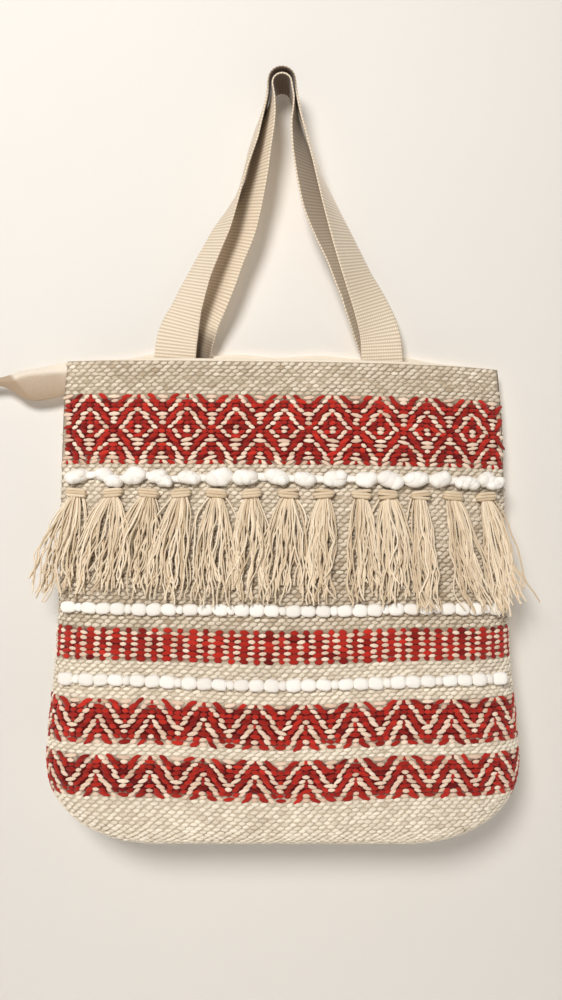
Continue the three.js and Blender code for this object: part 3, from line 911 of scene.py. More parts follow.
def weave_fold(side, grains, first):
    """Rows that follow the base seam, evenly spaced down the turn."""
    shares = np.linspace(FOLD_START, 0, SAMPLES)
    line = np.stack([fold_point(side, np.array(0.0), share) for share in shares])
    reach = lengths_along(line)
    count = int(reach[-1] / GROUND_PITCH)
    edges = np.interp(np.arange(count + 1) * reach[-1] / count, reach, shares)
    for number in range(count):
        low = (edges[number] + edges[number + 1]) / 2
        row = Row(side, fold_point, low, edges[number] - edges[number + 1])
        at = column_place(ground_columns(first + number), BASE_Z)
        at = at[(at > row.reach[0] + FOLD_MARGIN) & (at < row.reach[-1] - FOLD_MARGIN)]
        colour = np.full(len(at), "o")
        if side == "front":
            place = row.read(row.line, at)
            columns = np.round(at / REPEAT_WIDTH * REPEAT_COLUMNS).astype(int)
            for k, (level, column) in enumerate(zip(place[:, 2], columns)):
                kind, number_in = band_at(level)
                if kind in CHARTS:
                    colour[k] = chart_colour(kind, number_in, int(column))
        lay_row(grains, row, at, GROUND_WIDE, GROUND_SLANT, tall=GROUND_TALL, colour=colour, tone=FOLD_TONE)


# Ground bands that start below this level belong to the lower piece.
LOWER_FROM = -440.0


def weave_front():
    upper = {"o": Grains(), "p": Grains(), "#": Grains()}
    lower = {"o": Grains(), "p": upper["p"], "#": upper["#"]}
    first = 0
    for kind, top, bottom, count in BANDS:
        grains = upper if top > LOWER_FROM else lower
        if kind == "ground":
            weave_ground("front", grains, np.linspace(top, bottom, count + 1), first)
        elif kind == "dash":
            weave_dashes(grains, top, bottom, count)
        else:
            weave_chart(grains, kind, top, bottom, count)
        first += count
    edges = base_levels("front", BANDS[-1][2])
    weave_ground("front", lower, edges, first)
    weave_fold("front", lower, first + len(edges) - 1)
    return [
        upper["o"].piece("front_weft_upper", CREAM_YARN),
        lower["o"].piece("front_weft_lower", CREAM_YARN),
        upper["p"].piece("front_band_cream", BAND_CREAM),
        upper["#"].piece("front_red_weft", RED_YARN),
    ]


def weave_back():
    upper = {"o": Grains()}
    lower = {"o": Grains()}
    edges = base_levels("back", BANDS[0][1])
    half = len(edges) // 2
    weave_ground("back", upper, edges[: half + 1], 0)
    weave_ground("back", lower, edges[half:], half)
    weave_fold("back", lower, len(edges) - 1)
    return [
        upper["o"].piece("back_weft_upper", CREAM_YARN, Around=5),
        lower["o"].piece("back_weft_lower", CREAM_YARN, Around=5),
    ]


# Cloth behind the weft

BEHIND = 0.55
CLOTH_ROWS = 72
TURN_ROWS = 17
CLOTH_COLUMNS = 91
# Its columns crowd towards the side seams.
CROWDED = 0.3
# Dyed stretches end short of the band's edges and of the side seams.
DYED_SHORT = {"level": 3.5, "side": 5.0}
# Painted shade: the cloth behind the floats is this much darker in tone than the floats at its level.
SHADED_BEHIND = 0.15
INSIDE_TONE = 0.9


def cloth_behind(side):
    """The cloth that the floats stand on: a closed wall from hem to base seam."""
    turn_at = 1 - FOLD_UNDER[side] / (HEM_Z - BASE_Z)
    turned = np.sin(np.linspace(0, math.pi / 2, TURN_ROWS)) ** (2 / FOLD_POWER)
    down = np.concatenate([np.linspace(0, turn_at, CLOTH_ROWS)[:-1], mix(turn_at, 1, turned)])[:, None]
    even = np.linspace(-1, 1, CLOTH_COLUMNS)[None, :]
    across = -AWAY[side] * even * (1 + CROWDED - CROWDED * even * even)
    outer = face_point(side, across, down, BEHIND)
    inner = face_point(side, across, down, WALL)
    rows, columns = outer.shape[:2]
    points = np.concatenate([outer.reshape(-1, 3), inner.reshape(-1, 3)])
    dyed = np.zeros(len(points))
    if side == "front":
        for kind, top, bottom, _ in BANDS:
            if kind != "ground":
                level = 2 * points[:, 2] - row_line(points[:, 0], points[:, 2])
                inside = np.abs(points[:, 0]) < body("half_width", points[:, 2]) - DYED_SHORT["side"]
                below = level < top - DYED_SHORT["level"]
                above = level > bottom + DYED_SHORT["level"]
                dyed[inside & below & above] = 1
    dyed[rows * columns :] = 0
    # Painted shade in the gaps between the floats, and a pale inside.
    tone = cloth_tone(side, points[:, 2]) - SHADED_BEHIND
    tone[rows * columns :] = INSIDE_TONE
    return mesh_object(f"{side}_cloth", points, wall_faces(rows, columns), tone=tone, dyed=dyed)


# Straps, zip tapes and tail

WEBBING = {"width": 38.0, "thick": 2.0, "rib": 3.0, "column": 2.2}
# Its edges: how wide they are, the share of the thickness that they keep, how far the ribs jut
# out as a share of the width, and the share of their relief that is left.
WEBBING_EDGE = {"reach": 1.1, "thin": 0.55, "jut": 0.012, "relief": 0.25}
# Legs by height: z, left, right, depth, and the turn of the left and of the right leg.
FRONT_STRAP = {
    "legs": (
        (-292, -100, 92, 3.2, 0, 0), (-250, -98.5, 91, 3.2, 0, 0), (-228, -95.4, 89, 2.6, 10, 10),
        (-205, -88, 81.4, 1.4, 35, 24), (-175, -76.3, 68.4, 0.6, 49, 41),
        (-150, -64.4, 58.5, 0.3, 55, 49), (-133, -56.1, 52, 0, 58, 55), (-115, -47.4, 45.2, 0, 69, 62),
        (-96, -39, 38.4, 0, 80, 69), (-77, -33.2, 31.8, 0, 79, 76), (-55, -26.8, 25, 0, 75, 79),
        (-34, -20.8, 18.6, 0, 78, 81), (-16, -14.6, 13.4, 0, 86, 87),
    ),
    "loop": (-0.7, -6.2, 11.9),
    # Painted shade and wear: whether it reaches the edges, on each leg, and at the foot.
    "dark_edges": 1.0,
    "painted_shade_legs": (0.0, 0.0),
    "painted_shade_foot": 0.0,
}
BACK_STRAP = {
    "legs": (
        (-292, -88, 94, 16.2, 0, 0), (-246, -86.4, 92, 15.6, 0, 0), (-218, -75.2, 78.1, 12, 28, 30),
        (-190, -60.3, 63.1, 8, 40, 52), (-160, -48.8, 50.4, 6.5, 41, 54), (-135, -38.4, 38.6, 5.2, 42, 53),
        (-112, -32, 29.9, 3.6, 44, 51), (-86, -24.6, 23.6, 1.8, 54, 53), (-63, -20, 18.4, 0.8, 59, 59),
        (-42, -16, 14.2, 0, 62, 70), (-31, -13.8, 13.1, 0, 67, 78), (-20, -11.5, 11.5, 0, 76, 85),
    ),
    "loop": (-0.6, -8.6, 8.7),
    # Painted shade and wear: whether it reaches the edges, on each leg, and at the foot.
    "dark_edges": 0.0,
    "painted_shade_legs": (0.3, 0.45),
    "painted_shade_foot": 0.7,
}
# The webbing is darkened at the top, where it hangs: the height it starts from, the height it takes, and
# its shares inside and outside the loop. It is painted shade inside the loop, and partly wear, partly
# painted shade outside it. The back strap's legs are darkened too, with painted shade: the left one beside
# the front strap and at its foot, the right one all over.
DARKENED = {"from": -24.0, "over": 18.0, "inside": 0.9, "outside": 0.5}
PAINTED_SHADE_FOOT = {"from": -214.0, "over": 14.0}
PAINTED_SHADE_BESIDE = 0.75
PATH_STEPS = 2400
LOOP_STEPS = 6


def strap_places(strap):
    left = [(x, y, z, turn) for z, x, _, y, turn, _ in strap["legs"]]
    right = [(x, y, z, turn) for z, _, x, y, _, turn in strap["legs"]]
    middle_x, middle_z, radius = strap["loop"]
    angles = np.pi * (1 - np.arange(LOOP_STEPS + 1) / LOOP_STEPS)
    loop = [(middle_x + radius * math.cos(a), 0, middle_z + radius * math.sin(a), 90) for a in angles]
    return np.array(left + loop + right[::-1], float)


def curve_through(places, shares):
    """A smooth line through places, eased by the root of their distances."""
    ends = np.concatenate([[2 * places[0] - places[1]], places, [2 * places[-1] - places[-2]]])
    gaps = np.linalg.norm(np.diff(ends, axis=0), axis=1) ** 0.5
    steps = shares * (len(places) - 1)
    i = np.minimum(steps.astype(int), len(places) - 2)
    t = (steps - i)[:, None]
    p0, p1, p2, p3 = ends[i], ends[i + 1], ends[i + 2], ends[i + 3]
    d0, d1, d2 = (gaps[i + k][:, None] for k in range(3))
    m1 = ((p1 - p0) / d0 - (p2 - p0) / (d0 + d1) + (p2 - p1) / d1) * d1
    m2 = ((p2 - p1) / d1 - (p3 - p1) / (d1 + d2) + (p3 - p2) / d2) * d1
    c2 = -3 * p1 + 3 * p2 - 2 * m1 - m2
    c3 = 2 * p1 - 2 * p2 + m1 + m2
    return p1 + m1 * t + c2 * t**2 + c3 * t**3


def strap(name, shape):
    table = strap_places(shape)
    fine = np.linspace(0, 1, PATH_STEPS)
    path = curve_through(table[:, :3], fine)
    turns = np.interp(fine * (len(table) - 1), np.arange(len(table)), table[:, 3])
    reach = lengths_along(path)
    stations = int(reach[-1] / (WEBBING["rib"] / 2))
    at = np.linspace(0, reach[-1], stations + 1)
    middle = np.stack([np.interp(at, reach, path[:, k]) for k in range(3)], axis=-1)
    run = unit(np.gradient(middle, axis=0))
    turn = np.radians(np.interp(at, reach, turns))[:, None]
    to_front = np.array([0.0, -1.0, 0.0])
    inward = unit(np.cross(run, to_front))
    wide = np.cos(turn) * inward + np.sin(turn) * to_front
    wide = unit(wide - run * np.sum(wide * run, axis=-1, keepdims=True))
    out = np.cross(wide, run)
    half = WEBBING["width"] / 2
    columns = int(round(WEBBING["width"] / (WEBBING["column"] / 2)))
    across = np.linspace(-half, half, columns + 1)
    steps = np.arange(columns + 1)
    serrated = 1 + WEBBING_EDGE["jut"] * np.cos(2 * np.pi * at / WEBBING["rib"])
    ring_across = np.concatenate([across, across[::-1]])
    ring_side = np.concatenate([np.ones(columns + 1), -np.ones(columns + 1)])
    edge = clamp01((half - np.abs(ring_across)) / WEBBING_EDGE["reach"])
    thick = ring_side * mix(WEBBING_EDGE["thin"], 1, edge) * WEBBING["thick"] / 2
    points = (
        middle[:, None]
        + wide[:, None] * (ring_across[None] * serrated[:, None])[..., None]
        + out[:, None] * thick[None, :, None]
    )
    rings, sides = points.shape[:2]
    # Painted shade, with some wear at the top: darker inside the loop than outside it, beside the front
    # strap and at the foot of the back strap's left leg, and all over its right leg.
    high = ease(clamp01((middle[:, 2:] - DARKENED["from"]) / DARKENED["over"]))
    inner = np.where(ring_side < 0, DARKENED["inside"], DARKENED["outside"])[None, :]
    on_left = (at < reach[-1] / 2)[:, None]
    covered = ease(clamp01(PAINTED_SHADE_BESIDE - ring_across[None, :] / half))
    foot = shape["painted_shade_foot"] * clamp01((PAINTED_SHADE_FOOT["from"] - middle[:, 2:]) / PAINTED_SHADE_FOOT["over"])
    leg = np.where(on_left, np.maximum(shape["painted_shade_legs"][0] * covered, foot), shape["painted_shade_legs"][1])
    soil = np.maximum(high * inner, leg) * mix(edge, 1, shape["dark_edges"])
    piece = mesh_object(
        name,
        points.reshape(-1, 3),
        tube_faces(rings, sides),
        across=np.tile(np.concatenate([steps, steps[::-1]]) * WEBBING["column"] / 2, rings),
        along=np.repeat(np.arange(rings) * WEBBING["rib"] / 2, sides),
        face=np.tile(mix(WEBBING_EDGE["relief"], 1, edge), rings),
        soil=soil.ravel(),
    )
    grow(piece, RIBS, WEBBING_WEAR_AND_SHADE, drop=("across", "along", "face"))
    return piece, reach[-1] * MM


TAPE = {"half_length": 172.0, "thick": 1.0, "gap": 0.45, "below": 24.0}
TAPE_RISE = {"front": 2.6, "back": 8.2}
TAPE_WAVE = {"height": 1.2, "length": 76.0, "phase": 4.0}
TAPE_TAPER = {"over": 60, "end": 0.3}
TAPE_GRID = {"rows": 13, "columns": 141}
TAPE_TONE = 0.7


def zip_tape(side):
    def grid(inside):
        x = -AWAY[side] * np.linspace(-1, 1, TAPE_GRID["columns"])[None, :] * TAPE["half_length"]
        wave = -TAPE_WAVE["height"] * np.cos(2 * np.pi * (x + TAPE_WAVE["phase"]) / TAPE_WAVE["length"])
        rise = TAPE_RISE[side] + (wave if side == "back" else 0)
        taper = ease(clamp01((TAPE["half_length"] - np.abs(x)) / TAPE_TAPER["over"]))
        top = hem_line(x) + rise * mix(TAPE_TAPER["end"], 1, taper)
        down = np.linspace(0, 1, TAPE_GRID["rows"])[:, None]
        z = mix(top, hem_line(x) - TAPE["below"], down)
        y = face_y(side, np.broadcast_to(x, z.shape), z, WALL) - AWAY[side] * inside
        return np.stack(np.broadcast_arrays(x, y, z), axis=-1)

    outer = grid(TAPE["gap"])
    inner = grid(TAPE["gap"] + TAPE["thick"])
    rows, columns = outer.shape[:2]
    points = np.concatenate([outer.reshape(-1, 3), inner.reshape(-1, 3)])
    tone = np.full(len(points), TAPE_TONE)
    piece = mesh_object(f"zip_tape_{side}_cotton", points, wall_faces(rows, columns), tone=tone)
    piece.data.materials.append(TAPE_COTTON)
    return piece


# Tail stations: x, z, height, thickness, how far the crease stands to the front, and the
# height of the crease as a share of the half height.
ZIP_TAIL = (
    (-166, -266.0, 24, 3.2, 0, 0.4), (-186, -266.8, 28, 3.2, 0, 0.4), (-202, -268.2, 30.5, 3.4, 1, 0.4),
    (-216, -271.4, 31, 4.0, 7, 0.5), (-231, -273.6, 29.5, 4.2, 10, 0.55), (-241, -273.0, 25, 4.2, 9, 0.4),
    (-252, -271.2, 14, 3.8, 5, 0.0), (-260, -270.8, 8.5, 3.4, 2, 0.0), (-273, -271.5, 10, 3.2, 1, 0.0),
)
TAIL_GRID = {"rings": 64, "sides": 48}
# Painted shade of the tail: below its crease, darker towards its lower edge, and past the slanting line
# where its end turns over.
TAIL_SHADE = {"light": 0.9, "under": 0.68, "turned": 0.85, "both": 0.2, "lift": 0.22}
TAIL_UNDER = {"above": 0.06, "over": 0.24}
TAIL_TURN = {"x": -240, "slope": 9, "over": 6}


def zip_tail():
    table = np.array(ZIP_TAIL, float)[::-1]
    x = np.linspace(table[0, 0], table[-1, 0], TAIL_GRID["rings"])
    columns = (read_smoothly(table[:, 0], table[:, k], x)[:, None] for k in range(1, 6))
    z, tall, thick, ridge, crease = columns
    angle = np.linspace(0, 2 * np.pi, TAIL_GRID["sides"], endpoint=False)[None, :]
    high = np.sin(angle)
    slope = np.where(high > crease, 1 - crease, 1 + crease)
    fold = np.where(np.cos(angle) < 0, ridge * (1 - np.abs(high - crease) / slope), 0)
    y = BODY["seam_y"][0] + thick / 2 * np.cos(angle) - fold
    points = np.stack(np.broadcast_arrays(x[:, None], y, z + tall / 2 * high), axis=-1)
    rings, sides = points.shape[:2]
    # Painted shade: the tone darkens below the crease and on the turned end.
    under = clamp01((crease + TAIL_UNDER["above"] - high) / TAIL_UNDER["over"])
    past = TAIL_TURN["x"] - x[:, None] - TAIL_TURN["slope"] * high
    turned = ease(clamp01(past / TAIL_TURN["over"]))
    shaded = TAIL_SHADE["under"] * under + TAIL_SHADE["turned"] * turned * (1 - under)
    shaded = shaded + TAIL_SHADE["both"] * turned * under
    tone = (TAIL_SHADE["light"] - shaded + TAIL_SHADE["lift"] * under * high).ravel()
    piece = mesh_object("zip_tail_cotton", points.reshape(-1, 3), tube_faces(rings, sides), tone=tone)
    piece.data.materials.append(TAIL_COTTON)
    return piece


# Bobbles

TOP_BOBBLES_Z = -360.0
# Each lump of the top row, with three puffs over it and a thinner neck to the next one.
TOP_LUMP = {"wide": 1.16, "tall": 0.92, "deep": 11.0, "tilt": 14}
TOP_PUFF = {"aside": 0.24, "above": 0.16, "size": 0.74, "long": 1.2, "deep": 11.8, "tilt": 30}
PUFF_UNEVEN = {"aside": 0.06, "size": 0.1}
PUFFS_AT = (-1, 0.2, 1)
TOP_NECK = {"wide": 15, "tall": 6.6, "deep": 6.0, "tilt": 9}
# Lumps of the top row: x, height above the row's line, width and height.
TOP_LUMPS = (
    (-184.4, 0.8, 21, 14), (-160, 2.5, 13, 13), (-150.5, -3.5, 13, 11), (-131.5, 0.6, 17, 16),
    (-111, 1.5, 15, 12), (-105, -3, 13, 12), (-83.1, -0.6, 19, 13), (-57, -0.5, 18, 16),
    (-32.6, 0.4, 19, 13), (-5, 0.5, 20, 15), (19.4, -1.4, 17, 14), (46.3, -1, 18, 15),
    (74, -0.6, 18, 14), (95.4, -1, 18, 15.5), (119.2, -0.4, 19, 14.5), (139.9, 0.4, 17.5, 15),
    (161, -1.6, 11, 12), (168, -2, 11, 11), (183, 0.8, 14, 13), (191, -1.5, 13, 12),
)
# Small rows: three big bumps to a repeat, and a small one before the next repeat.
SMALL_BOBBLES = {"half_length": 196.0, "repeat": 44.9, "pitch": 13.0, "deep": 7.0}
REPEATS = range(-5, 5)
BIG_BUMPS = 3
BIG_BUMP = {"wide": 13.6, "tall": 10.5}
SMALL_BUMP = {"wide": 6.6, "tall": 8.0}
BUMP_UNEVEN = {"up": 0.5, "tall": 0.07, "tilt": 8}
# Roving of the top row and of the small rows, for the tree of lumps.
TOP_ROVING = {"Fineness": 3, "Uneven": 0.002, "Square": 0.94, "Grain": 130.0}
SMALL_ROVING = {"Fineness": 3, "Uneven": 0.0012, "Square": 0.72, "Grain": 260.0}
ROVING_TONE = {"middle": 0.6, "spread": 0.35}
# Share of a lump's depth by which its middle stands off the face.
LUMP_AHEAD = 0.42
MIDDLE_BOBBLES_Z = -477.0
LOW_BOBBLES_Z = -540.0


def lumps(name, rows, sizes):
    """Lumps of roving, each x, z, width, height, depth and tilt."""
    x, z, wide, tall, deep, tilt = np.array(rows, float).T
    y = ahead_y(x, z) - deep * LUMP_AHEAD
    size = np.stack([wide, deep, tall], axis=-1) / 2 * MM
    turn = np.stack([np.zeros(len(x)), np.radians(tilt), np.zeros(len(x))], axis=-1)
    tone = np.clip(ROVING_TONE["middle"] + spread_evenly(len(x), ROVING_TONE["spread"]), 0, 1)
    points = mesh_object(name, np.stack([x, y, z], axis=-1), turn=turn, size=size, tone=tone)
    return grow(points, BOBBLES, ROVING, drop=("turn", "size"), **sizes)


def top_bobbles():
    rows = []
    for n, (x, up, wide, tall) in enumerate(TOP_LUMPS):
        z = row_height(x, TOP_BOBBLES_Z) + up
        lump = (wide * TOP_LUMP["wide"], tall * TOP_LUMP["tall"], TOP_LUMP["deep"])
        rows.append((x, z, *lump, TOP_LUMP["tilt"] * wobble(n)))
        for k, side in enumerate(PUFFS_AT):
            aside = TOP_PUFF["aside"] + PUFF_UNEVEN["aside"] * wobble(n * 5 + k)
            above = z + tall * TOP_PUFF["above"] * wobble(n * 11 + k * 3 + 1)
            puff = tall * (TOP_PUFF["size"] + PUFF_UNEVEN["size"] * wobble(n * 3 + k))
            size = (puff * TOP_PUFF["long"], puff, TOP_PUFF["deep"])
            rows.append((x + side * wide * aside, above, *size, TOP_PUFF["tilt"] * wobble(n + k * 9)))
    neck = (TOP_NECK["wide"], TOP_NECK["tall"], TOP_NECK["deep"])
    for n, (here, after) in enumerate(zip(TOP_LUMPS[:-1], TOP_LUMPS[1:])):
        x = (here[0] + after[0]) / 2
        z = row_height(x, TOP_BOBBLES_Z) + (here[1] + after[1]) / 2
        rows.append((x, z, *neck, TOP_NECK["tilt"] * wobble(n + 60)))
    return lumps("bobbles_top", rows, TOP_ROVING)


def small_bobbles(name, level):
    repeat = SMALL_BOBBLES["repeat"]
    pitch = SMALL_BOBBLES["pitch"]
    group = BIG_BUMPS * pitch
    rows = []
    for n in REPEATS:
        start = n * repeat + repeat / 2 - group / 2
        spots = [(start + (k + 0.5) * pitch, BIG_BUMP) for k in range(BIG_BUMPS)]
        spots.append((start + (repeat + group) / 2, SMALL_BUMP))
        for k, (x, bump) in enumerate(spots):
            if abs(x) <= SMALL_BOBBLES["half_length"]:
                z = row_height(x, level) + BUMP_UNEVEN["up"] * wobble(n * 4 + k + level)
                tall = bump["tall"] * (1 + BUMP_UNEVEN["tall"] * wobble(n * 7 + k * 3 + level))
                tilt = BUMP_UNEVEN["tilt"] * wobble(n + k * 5)
                rows.append((x, z, bump["wide"], tall, SMALL_BOBBLES["deep"], tilt))
    return lumps(name, rows, SMALL_ROVING)


# Tassels

TASSEL_Z = -374.5
BOBBLES_BELOW = -463.0
TASSEL_DROP = 91.0
# Head place, how far the skirt swings sideways, how wide it opens, and its length.
TASSELS = (
    (-185.7, -19, 33, 1.0), (-151.5, -13.5, 45, 0.93), (-119.3, -11, 33, 0.92), (-90.5, -13.5, 31, 1.0),
    (-58.9, -3, 32, 1.03), (-27.7, -3, 28, 1.0), (4.7, -6.5, 34, 1.0), (36.7, -6.5, 27, 1.0),
    (69.7, 3.5, 21, 1.02), (93.4, 5.6, 27, 1.03), (122.3, 5.3, 17, 1.08), (151.7, 21, 21, 1.06),
    (182.5, 18, 23, 1.08),
)
STRANDS_EACH = 36
STRAND_POINTS = 24
STRAND_RADIUS = 0.8
LOCKS = 7
STRAYS = 6
WRAPS = 3
STRAND_TONE = (0.6, 0.26)
WRAP_TONE = (0.38, 0.1)
# The skirt: half width at the head, start below it, share and power of its fast opening, and
# the power by which it leans.
SKIRT = {"head": 4.2, "top": 2.5, "fast": 0.86, "power": 4.2, "lean": 0.95}
# Locks of strands: place of the outer ones, spread of places, sway, waves of it, and depth.
LOCK = {"outer": 0.9, "spread": 0.12, "sway": (1.0, 4.4), "waves": (0.4, 1.1), "deep": (0.0, 3.8)}
# Strands of a lock: spread of places and of ends, length, sway with its waves and power, kinks,
# depth, ripples in depth, thickness, and the share of it at the tip.
STRAND = {
    "spread": 0.26, "ends": 2.6, "length": (0.8, 1.06), "sway": (0.8, 2.6), "waves": (1.2, 3.2),
    "power": 0.7, "kink": 0.5, "kinks": (4, 7), "deep": (0, 3.4), "ripple": 0.7, "ripples": 2.0,
    "thick": (0.85, 1.15), "tip": 0.75,
}
# Stray strands sway more and lie further out.
STRAY = {"sway": (3.5, 8.0), "waves": (0.5, 1.2), "out": 1.8}
# How strands stand off the face: the least, more in the middle of the head, the share of it at
# the head, how fast it grows, and the share lost at the ends.
SWELL = {"least": 0.2, "crown": 2.6, "head": 0.5, "growth": 4, "lost": 0.3}
# The strands pass over the middle row of bobbles: how far out, and over which height.
OVER_BOBBLES = {"out": 6.2, "over": 7.0}
# Wraps round the head: thickness, step, half width, less of it off the middle wrap, unevenness,
# depth and its unevenness, start, power of the bow, its rise, and spread at the sides.
WRAP = {
    "radius": 1.5, "step": 2.6, "half": 8.6, "less": 0.9, "uneven": 0.4, "deep": 6.0,
    "deep_uneven": 0.6, "start": 0.5, "power": 2.4, "rise": 0.5, "sides": 0.9,
}


def wave(t, turns):
    return np.sin(2 * np.pi * (turns * t + rng.uniform()))


def sway(t, strand):
    """A wave of random height, count and start."""
    height = rng.uniform(*strand["sway"])
    return height * wave(t, rng.uniform(*strand["waves"]))


def strand_lines(row, index):
    """Strands and wraps of one tassel, each a line of points with its thickness."""
    head_x, lean, opening, length = row
    head_z = row_height(head_x, TASSEL_Z)
    t = np.linspace(0, 1, STRAND_POINTS)
    opened = mix(t, 1 - (1 - t) ** SKIRT["power"], SKIRT["fast"])
    locks = []
    for k in range(LOCKS):
        middle = LOCK["outer"] * (2 * k / (LOCKS - 1) - 1) + rng.normal(0, LOCK["spread"])
        swing = sway(t, LOCK) * t
        locks.append((middle, swing, rng.uniform(*LOCK["deep"])))
    lines = []
    for k in range(STRANDS_EACH):
        middle, swing, depth = locks[k % LOCKS]
        place = middle + rng.normal(0, STRAND["spread"])
        stray = k >= STRANDS_EACH - STRAYS
        reach = rng.uniform(*STRAND["length"]) * TASSEL_DROP * length
        x = head_x + lean * t ** SKIRT["lean"] + place * mix(SKIRT["head"], opening / 2, opened) + swing
        x = x + rng.normal(0, STRAND["ends"]) * t + sway(t, STRAND) * t ** STRAND["power"]
        x = x + STRAND["kink"] * wave(t, rng.uniform(*STRAND["kinks"])) * t
        if stray:
            x = x + sway(t, STRAY) * t
        z = head_z - SKIRT["top"] - t * (reach - SKIRT["top"])
        crown = SWELL["crown"] * math.sqrt(max(0.0, 1 - min(1.0, abs(place)) ** 2))
        swell = SWELL["least"] + depth + crown + rng.uniform(*STRAND["deep"])
        swell = swell + (STRAY["out"] if stray else 0.0)
        grown = mix(SWELL["head"], 1, np.minimum(1, t * SWELL["growth"])) * (1 - SWELL["lost"] * t)
        over = ease(clamp01((BOBBLES_BELOW - z) / OVER_BOBBLES["over"]))
        off = STRAND_RADIUS + swell * grown + OVER_BOBBLES["out"] * over
        off = off + STRAND["ripple"] * wave(t, STRAND["ripples"]) * t
        thick = STRAND_RADIUS * rng.uniform(*STRAND["thick"]) * np.ones(STRAND_POINTS)
        thick[-1] *= STRAND["tip"]
        front = ahead_y(x, z)
        y = np.minimum(front - off, front - STRAND_RADIUS)
        lines.append((np.stack([x, y, z], axis=-1), thick))
    turn = np.linspace(-1, 1, STRAND_POINTS)
    bow = np.sqrt(np.maximum(0, 1 - np.abs(turn) ** WRAP["power"]))
    for k in range(WRAPS):
        half = WRAP["half"] - WRAP["less"] * abs(k - 1) + rng.uniform(-WRAP["uneven"], WRAP["uneven"])
        x = head_x + half * np.sin(turn * math.pi / 2)
        tilt = math.copysign(1, wobble(index * 7 + k))
        z = head_z + WRAP["step"] * (1 - k) + tilt * turn + WRAP["rise"] * bow
        z = z + WRAP["sides"] * (k - 1) * np.abs(turn) ** 3
        deep = WRAP["deep"] + WRAP["deep_uneven"] * wobble(index + k)
        y = ahead_y(x, z) - WRAP["start"] - deep * bow
        lines.append((np.stack([x, y, z], axis=-1), np.full(STRAND_POINTS, WRAP["radius"])))
    return lines


def tassel(row, index):
    lines = strand_lines(row, index)
    points = np.concatenate([line for line, _ in lines])
    thick = np.concatenate([size for _, size in lines]) * MM
    tones = [rng.normal(*STRAND_TONE, STRANDS_EACH), rng.normal(*WRAP_TONE, WRAPS)]
    tone = np.repeat(np.clip(np.concatenate(tones), 0, 1), STRAND_POINTS)
    count = len(lines) * STRAND_POINTS
    edges = [(i, i + 1) for i in range(count - 1) if (i + 1) % STRAND_POINTS]
    piece = mesh_object(f"tassel_{index + 1:02d}_strands", points, edges=edges, thick=thick, tone=tone)
    return grow(piece, STRANDS, TASSEL_YARN, drop=("thick",))


# Hem stitches

# Stitches: pitch, length, half thickness, slant, tone, distance from the seams and off the face.
STITCH = {
    "pitch": 4.4, "length": 3.0, "half": 0.35, "slant": 3.0, "tone": 0.6, "margin": 4, "out": 0.1,
}


def hem_stitches():
    threads = Grains()
    for side in ("front", "back"):
        row = Row(side, level_point, HEM_SEAM_Z, 1.0)
        at = np.arange(row.reach[0] + STITCH["margin"], row.reach[-1] - STITCH["margin"], STITCH["pitch"])
        place, right, up, out, _ = row.frame(at)
        size = np.tile([STITCH["length"] / 2, STITCH["half"], STITCH["half"]], (len(at), 1))
        slant = np.full(len(at), STITCH["slant"])
        tone = np.full(len(at), STITCH["tone"])
        threads.add(place + out * STITCH["out"], right, up, out, slant, size, tone)
    return threads.piece("hem_stitches", THREAD)


# Assembly

front_weft = weave_front()
back_weft = weave_back()
stitches = hem_stitches()
front_cloth = cloth_behind("front")
front_cloth.data.materials.append(DYED_CLOTH)
back_cloth = cloth_behind("back")
back_cloth.data.materials.append(GROUND_CLOTH)
front_strap, front_length = strap("front_strap_webbing", FRONT_STRAP)
back_strap, back_length = strap("back_strap_webbing", BACK_STRAP)
tapes = {side: zip_tape(side) for side in ("front", "back")}
tail = zip_tail()
bobbles = {
    "bobble_row_top": top_bobbles(),
    "bobble_row_middle": small_bobbles("bobbles_middle", MIDDLE_BOBBLES_Z),
    "bobble_row_low": small_bobbles("bobbles_low", LOW_BOBBLES_Z),
}
tassels = [tassel(row, index) for index, row in enumerate(TASSELS)]


def place_piece(piece, slot, *nodes):
    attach(piece, "root")
    if nodes:
        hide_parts(*nodes)


for piece in (*front_weft, *back_weft, stitches):
    place_piece(piece, "handloom_cloth")
place_piece(front_cloth, "handloom_cloth", "front_panel")
place_piece(back_cloth, "handloom_cloth", "back_panel")
place_piece(front_strap, "cotton_webbing", "front_strap")
place_piece(back_strap, "cotton_webbing", "back_strap")
for side, piece in tapes.items():
    place_piece(piece, "cotton_tape", f"zip_tape_{side}")
place_piece(tail, "cotton_tape", "zip_tail")
for node, piece in bobbles.items():
    place_piece(piece, "white_yarn", node)
for index, piece in enumerate(tassels):
    place_piece(piece, "tassel_yarn", f"tassel_{index + 1:02d}")


# Stage, light and camera

STAGE_ROUGHNESS = 0.9
STAGE_SPECULAR = 0.1
CLOUDS = {"Scale": 3.0, "Detail": 4.0}
CLOUDED = 0.95


def stage_finish(name, colour):
    """A pale matt finish, faintly clouded."""
    material = bpy.data.materials.new(name)
    material.use_nodes = True
    tree = material.node_tree
    shader = tree.nodes["Principled BSDF"]
    shader.inputs["Roughness"].default_value = STAGE_ROUGHNESS
    shader.inputs["Specular IOR Level"].default_value = STAGE_SPECULAR
    place = add_node(tree, "ShaderNodeTexCoord").outputs["Object"]
    cloud = add_node(tree, "ShaderNodeTexNoise", {"Vector": place, **CLOUDS})
    darker = tuple(CLOUDED * c for c in colour[:3]) + (1.0,)
    tint = blend_colours(tree, cloud.outputs["Fac"], colour, darker)
    tree.links.new(tint, shader.inputs["Base Color"])
    return material


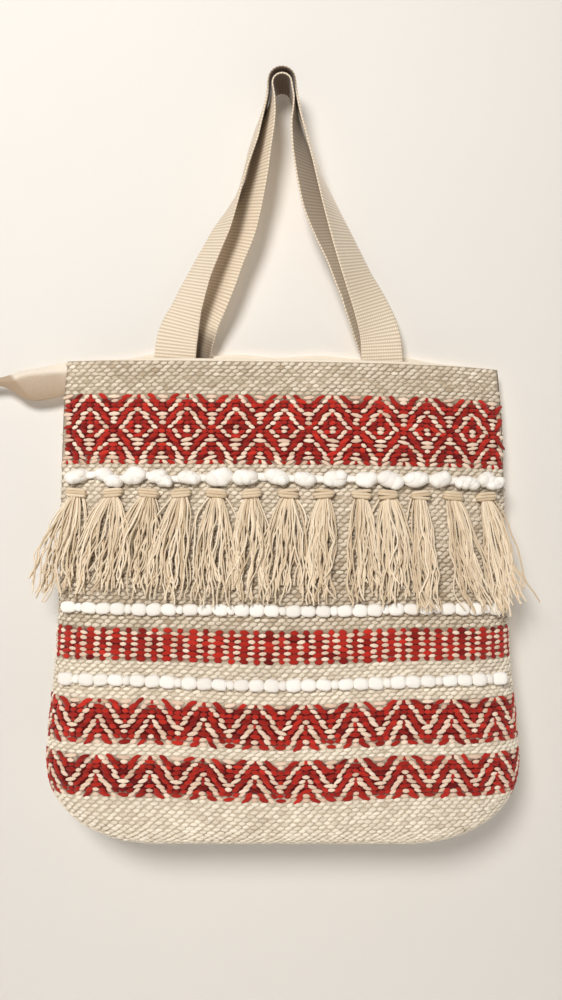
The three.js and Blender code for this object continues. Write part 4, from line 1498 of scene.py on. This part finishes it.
def one_sided(material):
    """Makes a finish show from its front only and throw no shade."""
    tree = material.node_tree
    shader = tree.nodes["Principled BSDF"]
    clear = add_node(tree, "ShaderNodeBsdfTransparent")
    behind = add_node(tree, "ShaderNodeNewGeometry").outputs["Backfacing"]
    shade = add_node(tree, "ShaderNodeLightPath").outputs["Is Shadow Ray"]
    either = calc(tree, "MAXIMUM", behind, shade)
    blend = add_node(tree, "ShaderNodeMixShader", {0: either, 1: shader.outputs[0], 2: clear.outputs[0]})
    tree.links.new(blend.outputs[0], tree.nodes["Material Output"].inputs["Surface"])
    return material


WALL_Y = 25.0
WALL_HALF = 3000
WALL_TOP = 2200
FLOOR_Z = -950.0
FLOOR_HALF = 4000
ONE_FACE = [(0, 1, 2, 3)]
# Corners as signs, going round.
ROUND = ((-1, -1), (1, -1), (1, 1), (-1, 1))
wall_corners = [(x * WALL_HALF, WALL_Y, FLOOR_Z if up < 0 else WALL_TOP) for x, up in ROUND]
wall = mesh_object("wall", wall_corners, ONE_FACE)
wall.data.materials.append(one_sided(stage_finish("pale_plaster", srgb(226, 224, 221))))
floor_corners = [(x * FLOOR_HALF, y * FLOOR_HALF, FLOOR_Z) for x, y in ROUND]
floor = mesh_object("floor", floor_corners, ONE_FACE)
floor.data.materials.append(stage_finish("pale_floor", srgb(226, 223, 219)))

ROOM_LIGHT = 0.21
scene = bpy.context.scene
scene.view_settings.view_transform = "Standard"
world = bpy.data.worlds.new("soft_room")
world.use_nodes = True
background = world.node_tree.nodes["Background"].inputs
background["Color"].default_value = srgb(255, 253, 250)
background["Strength"].default_value = ROOM_LIGHT
scene.world = world


def soft_light(name, place, aim, size, power, colour):
    data = bpy.data.lights.new(name, "AREA")
    data.shape = "DISK"
    data.size = size
    data.energy = power
    data.color = colour[:3]
    lamp = bpy.data.objects.new(name, data)
    lamp.location = place
    lamp.rotation_euler = (Vector(aim) - Vector(place)).to_track_quat("-Z", "Y").to_euler()
    scene.collection.objects.link(lamp)


# Lights in metres and watts: place, aim, size, power and colour.
soft_light("key", (-0.42, -1.5, 0.42), (0, 0, -0.35), 0.6, 27.5, srgb(255, 251, 245))
soft_light("back_fill", (0.8, 1.9, 0.6), (0, 0, -0.4), 1.4, 55.0, srgb(255, 250, 244))

# The view stands level with the tassels, close in front of the bag: place in millimetres, and
# focal length for the sensor's width.
VIEW = (-1.5, -730, -380)
SENSOR = 36.0
LENS = 28.8
camera_data = bpy.data.cameras.new("front_view")
camera_data.sensor_width = SENSOR
camera_data.lens = LENS
camera = bpy.data.objects.new("front_view", camera_data)
camera.location = tuple(place * MM for place in VIEW)
camera.rotation_euler = (math.pi / 2, 0, 0)
scene.collection.objects.link(camera)
scene.camera = camera
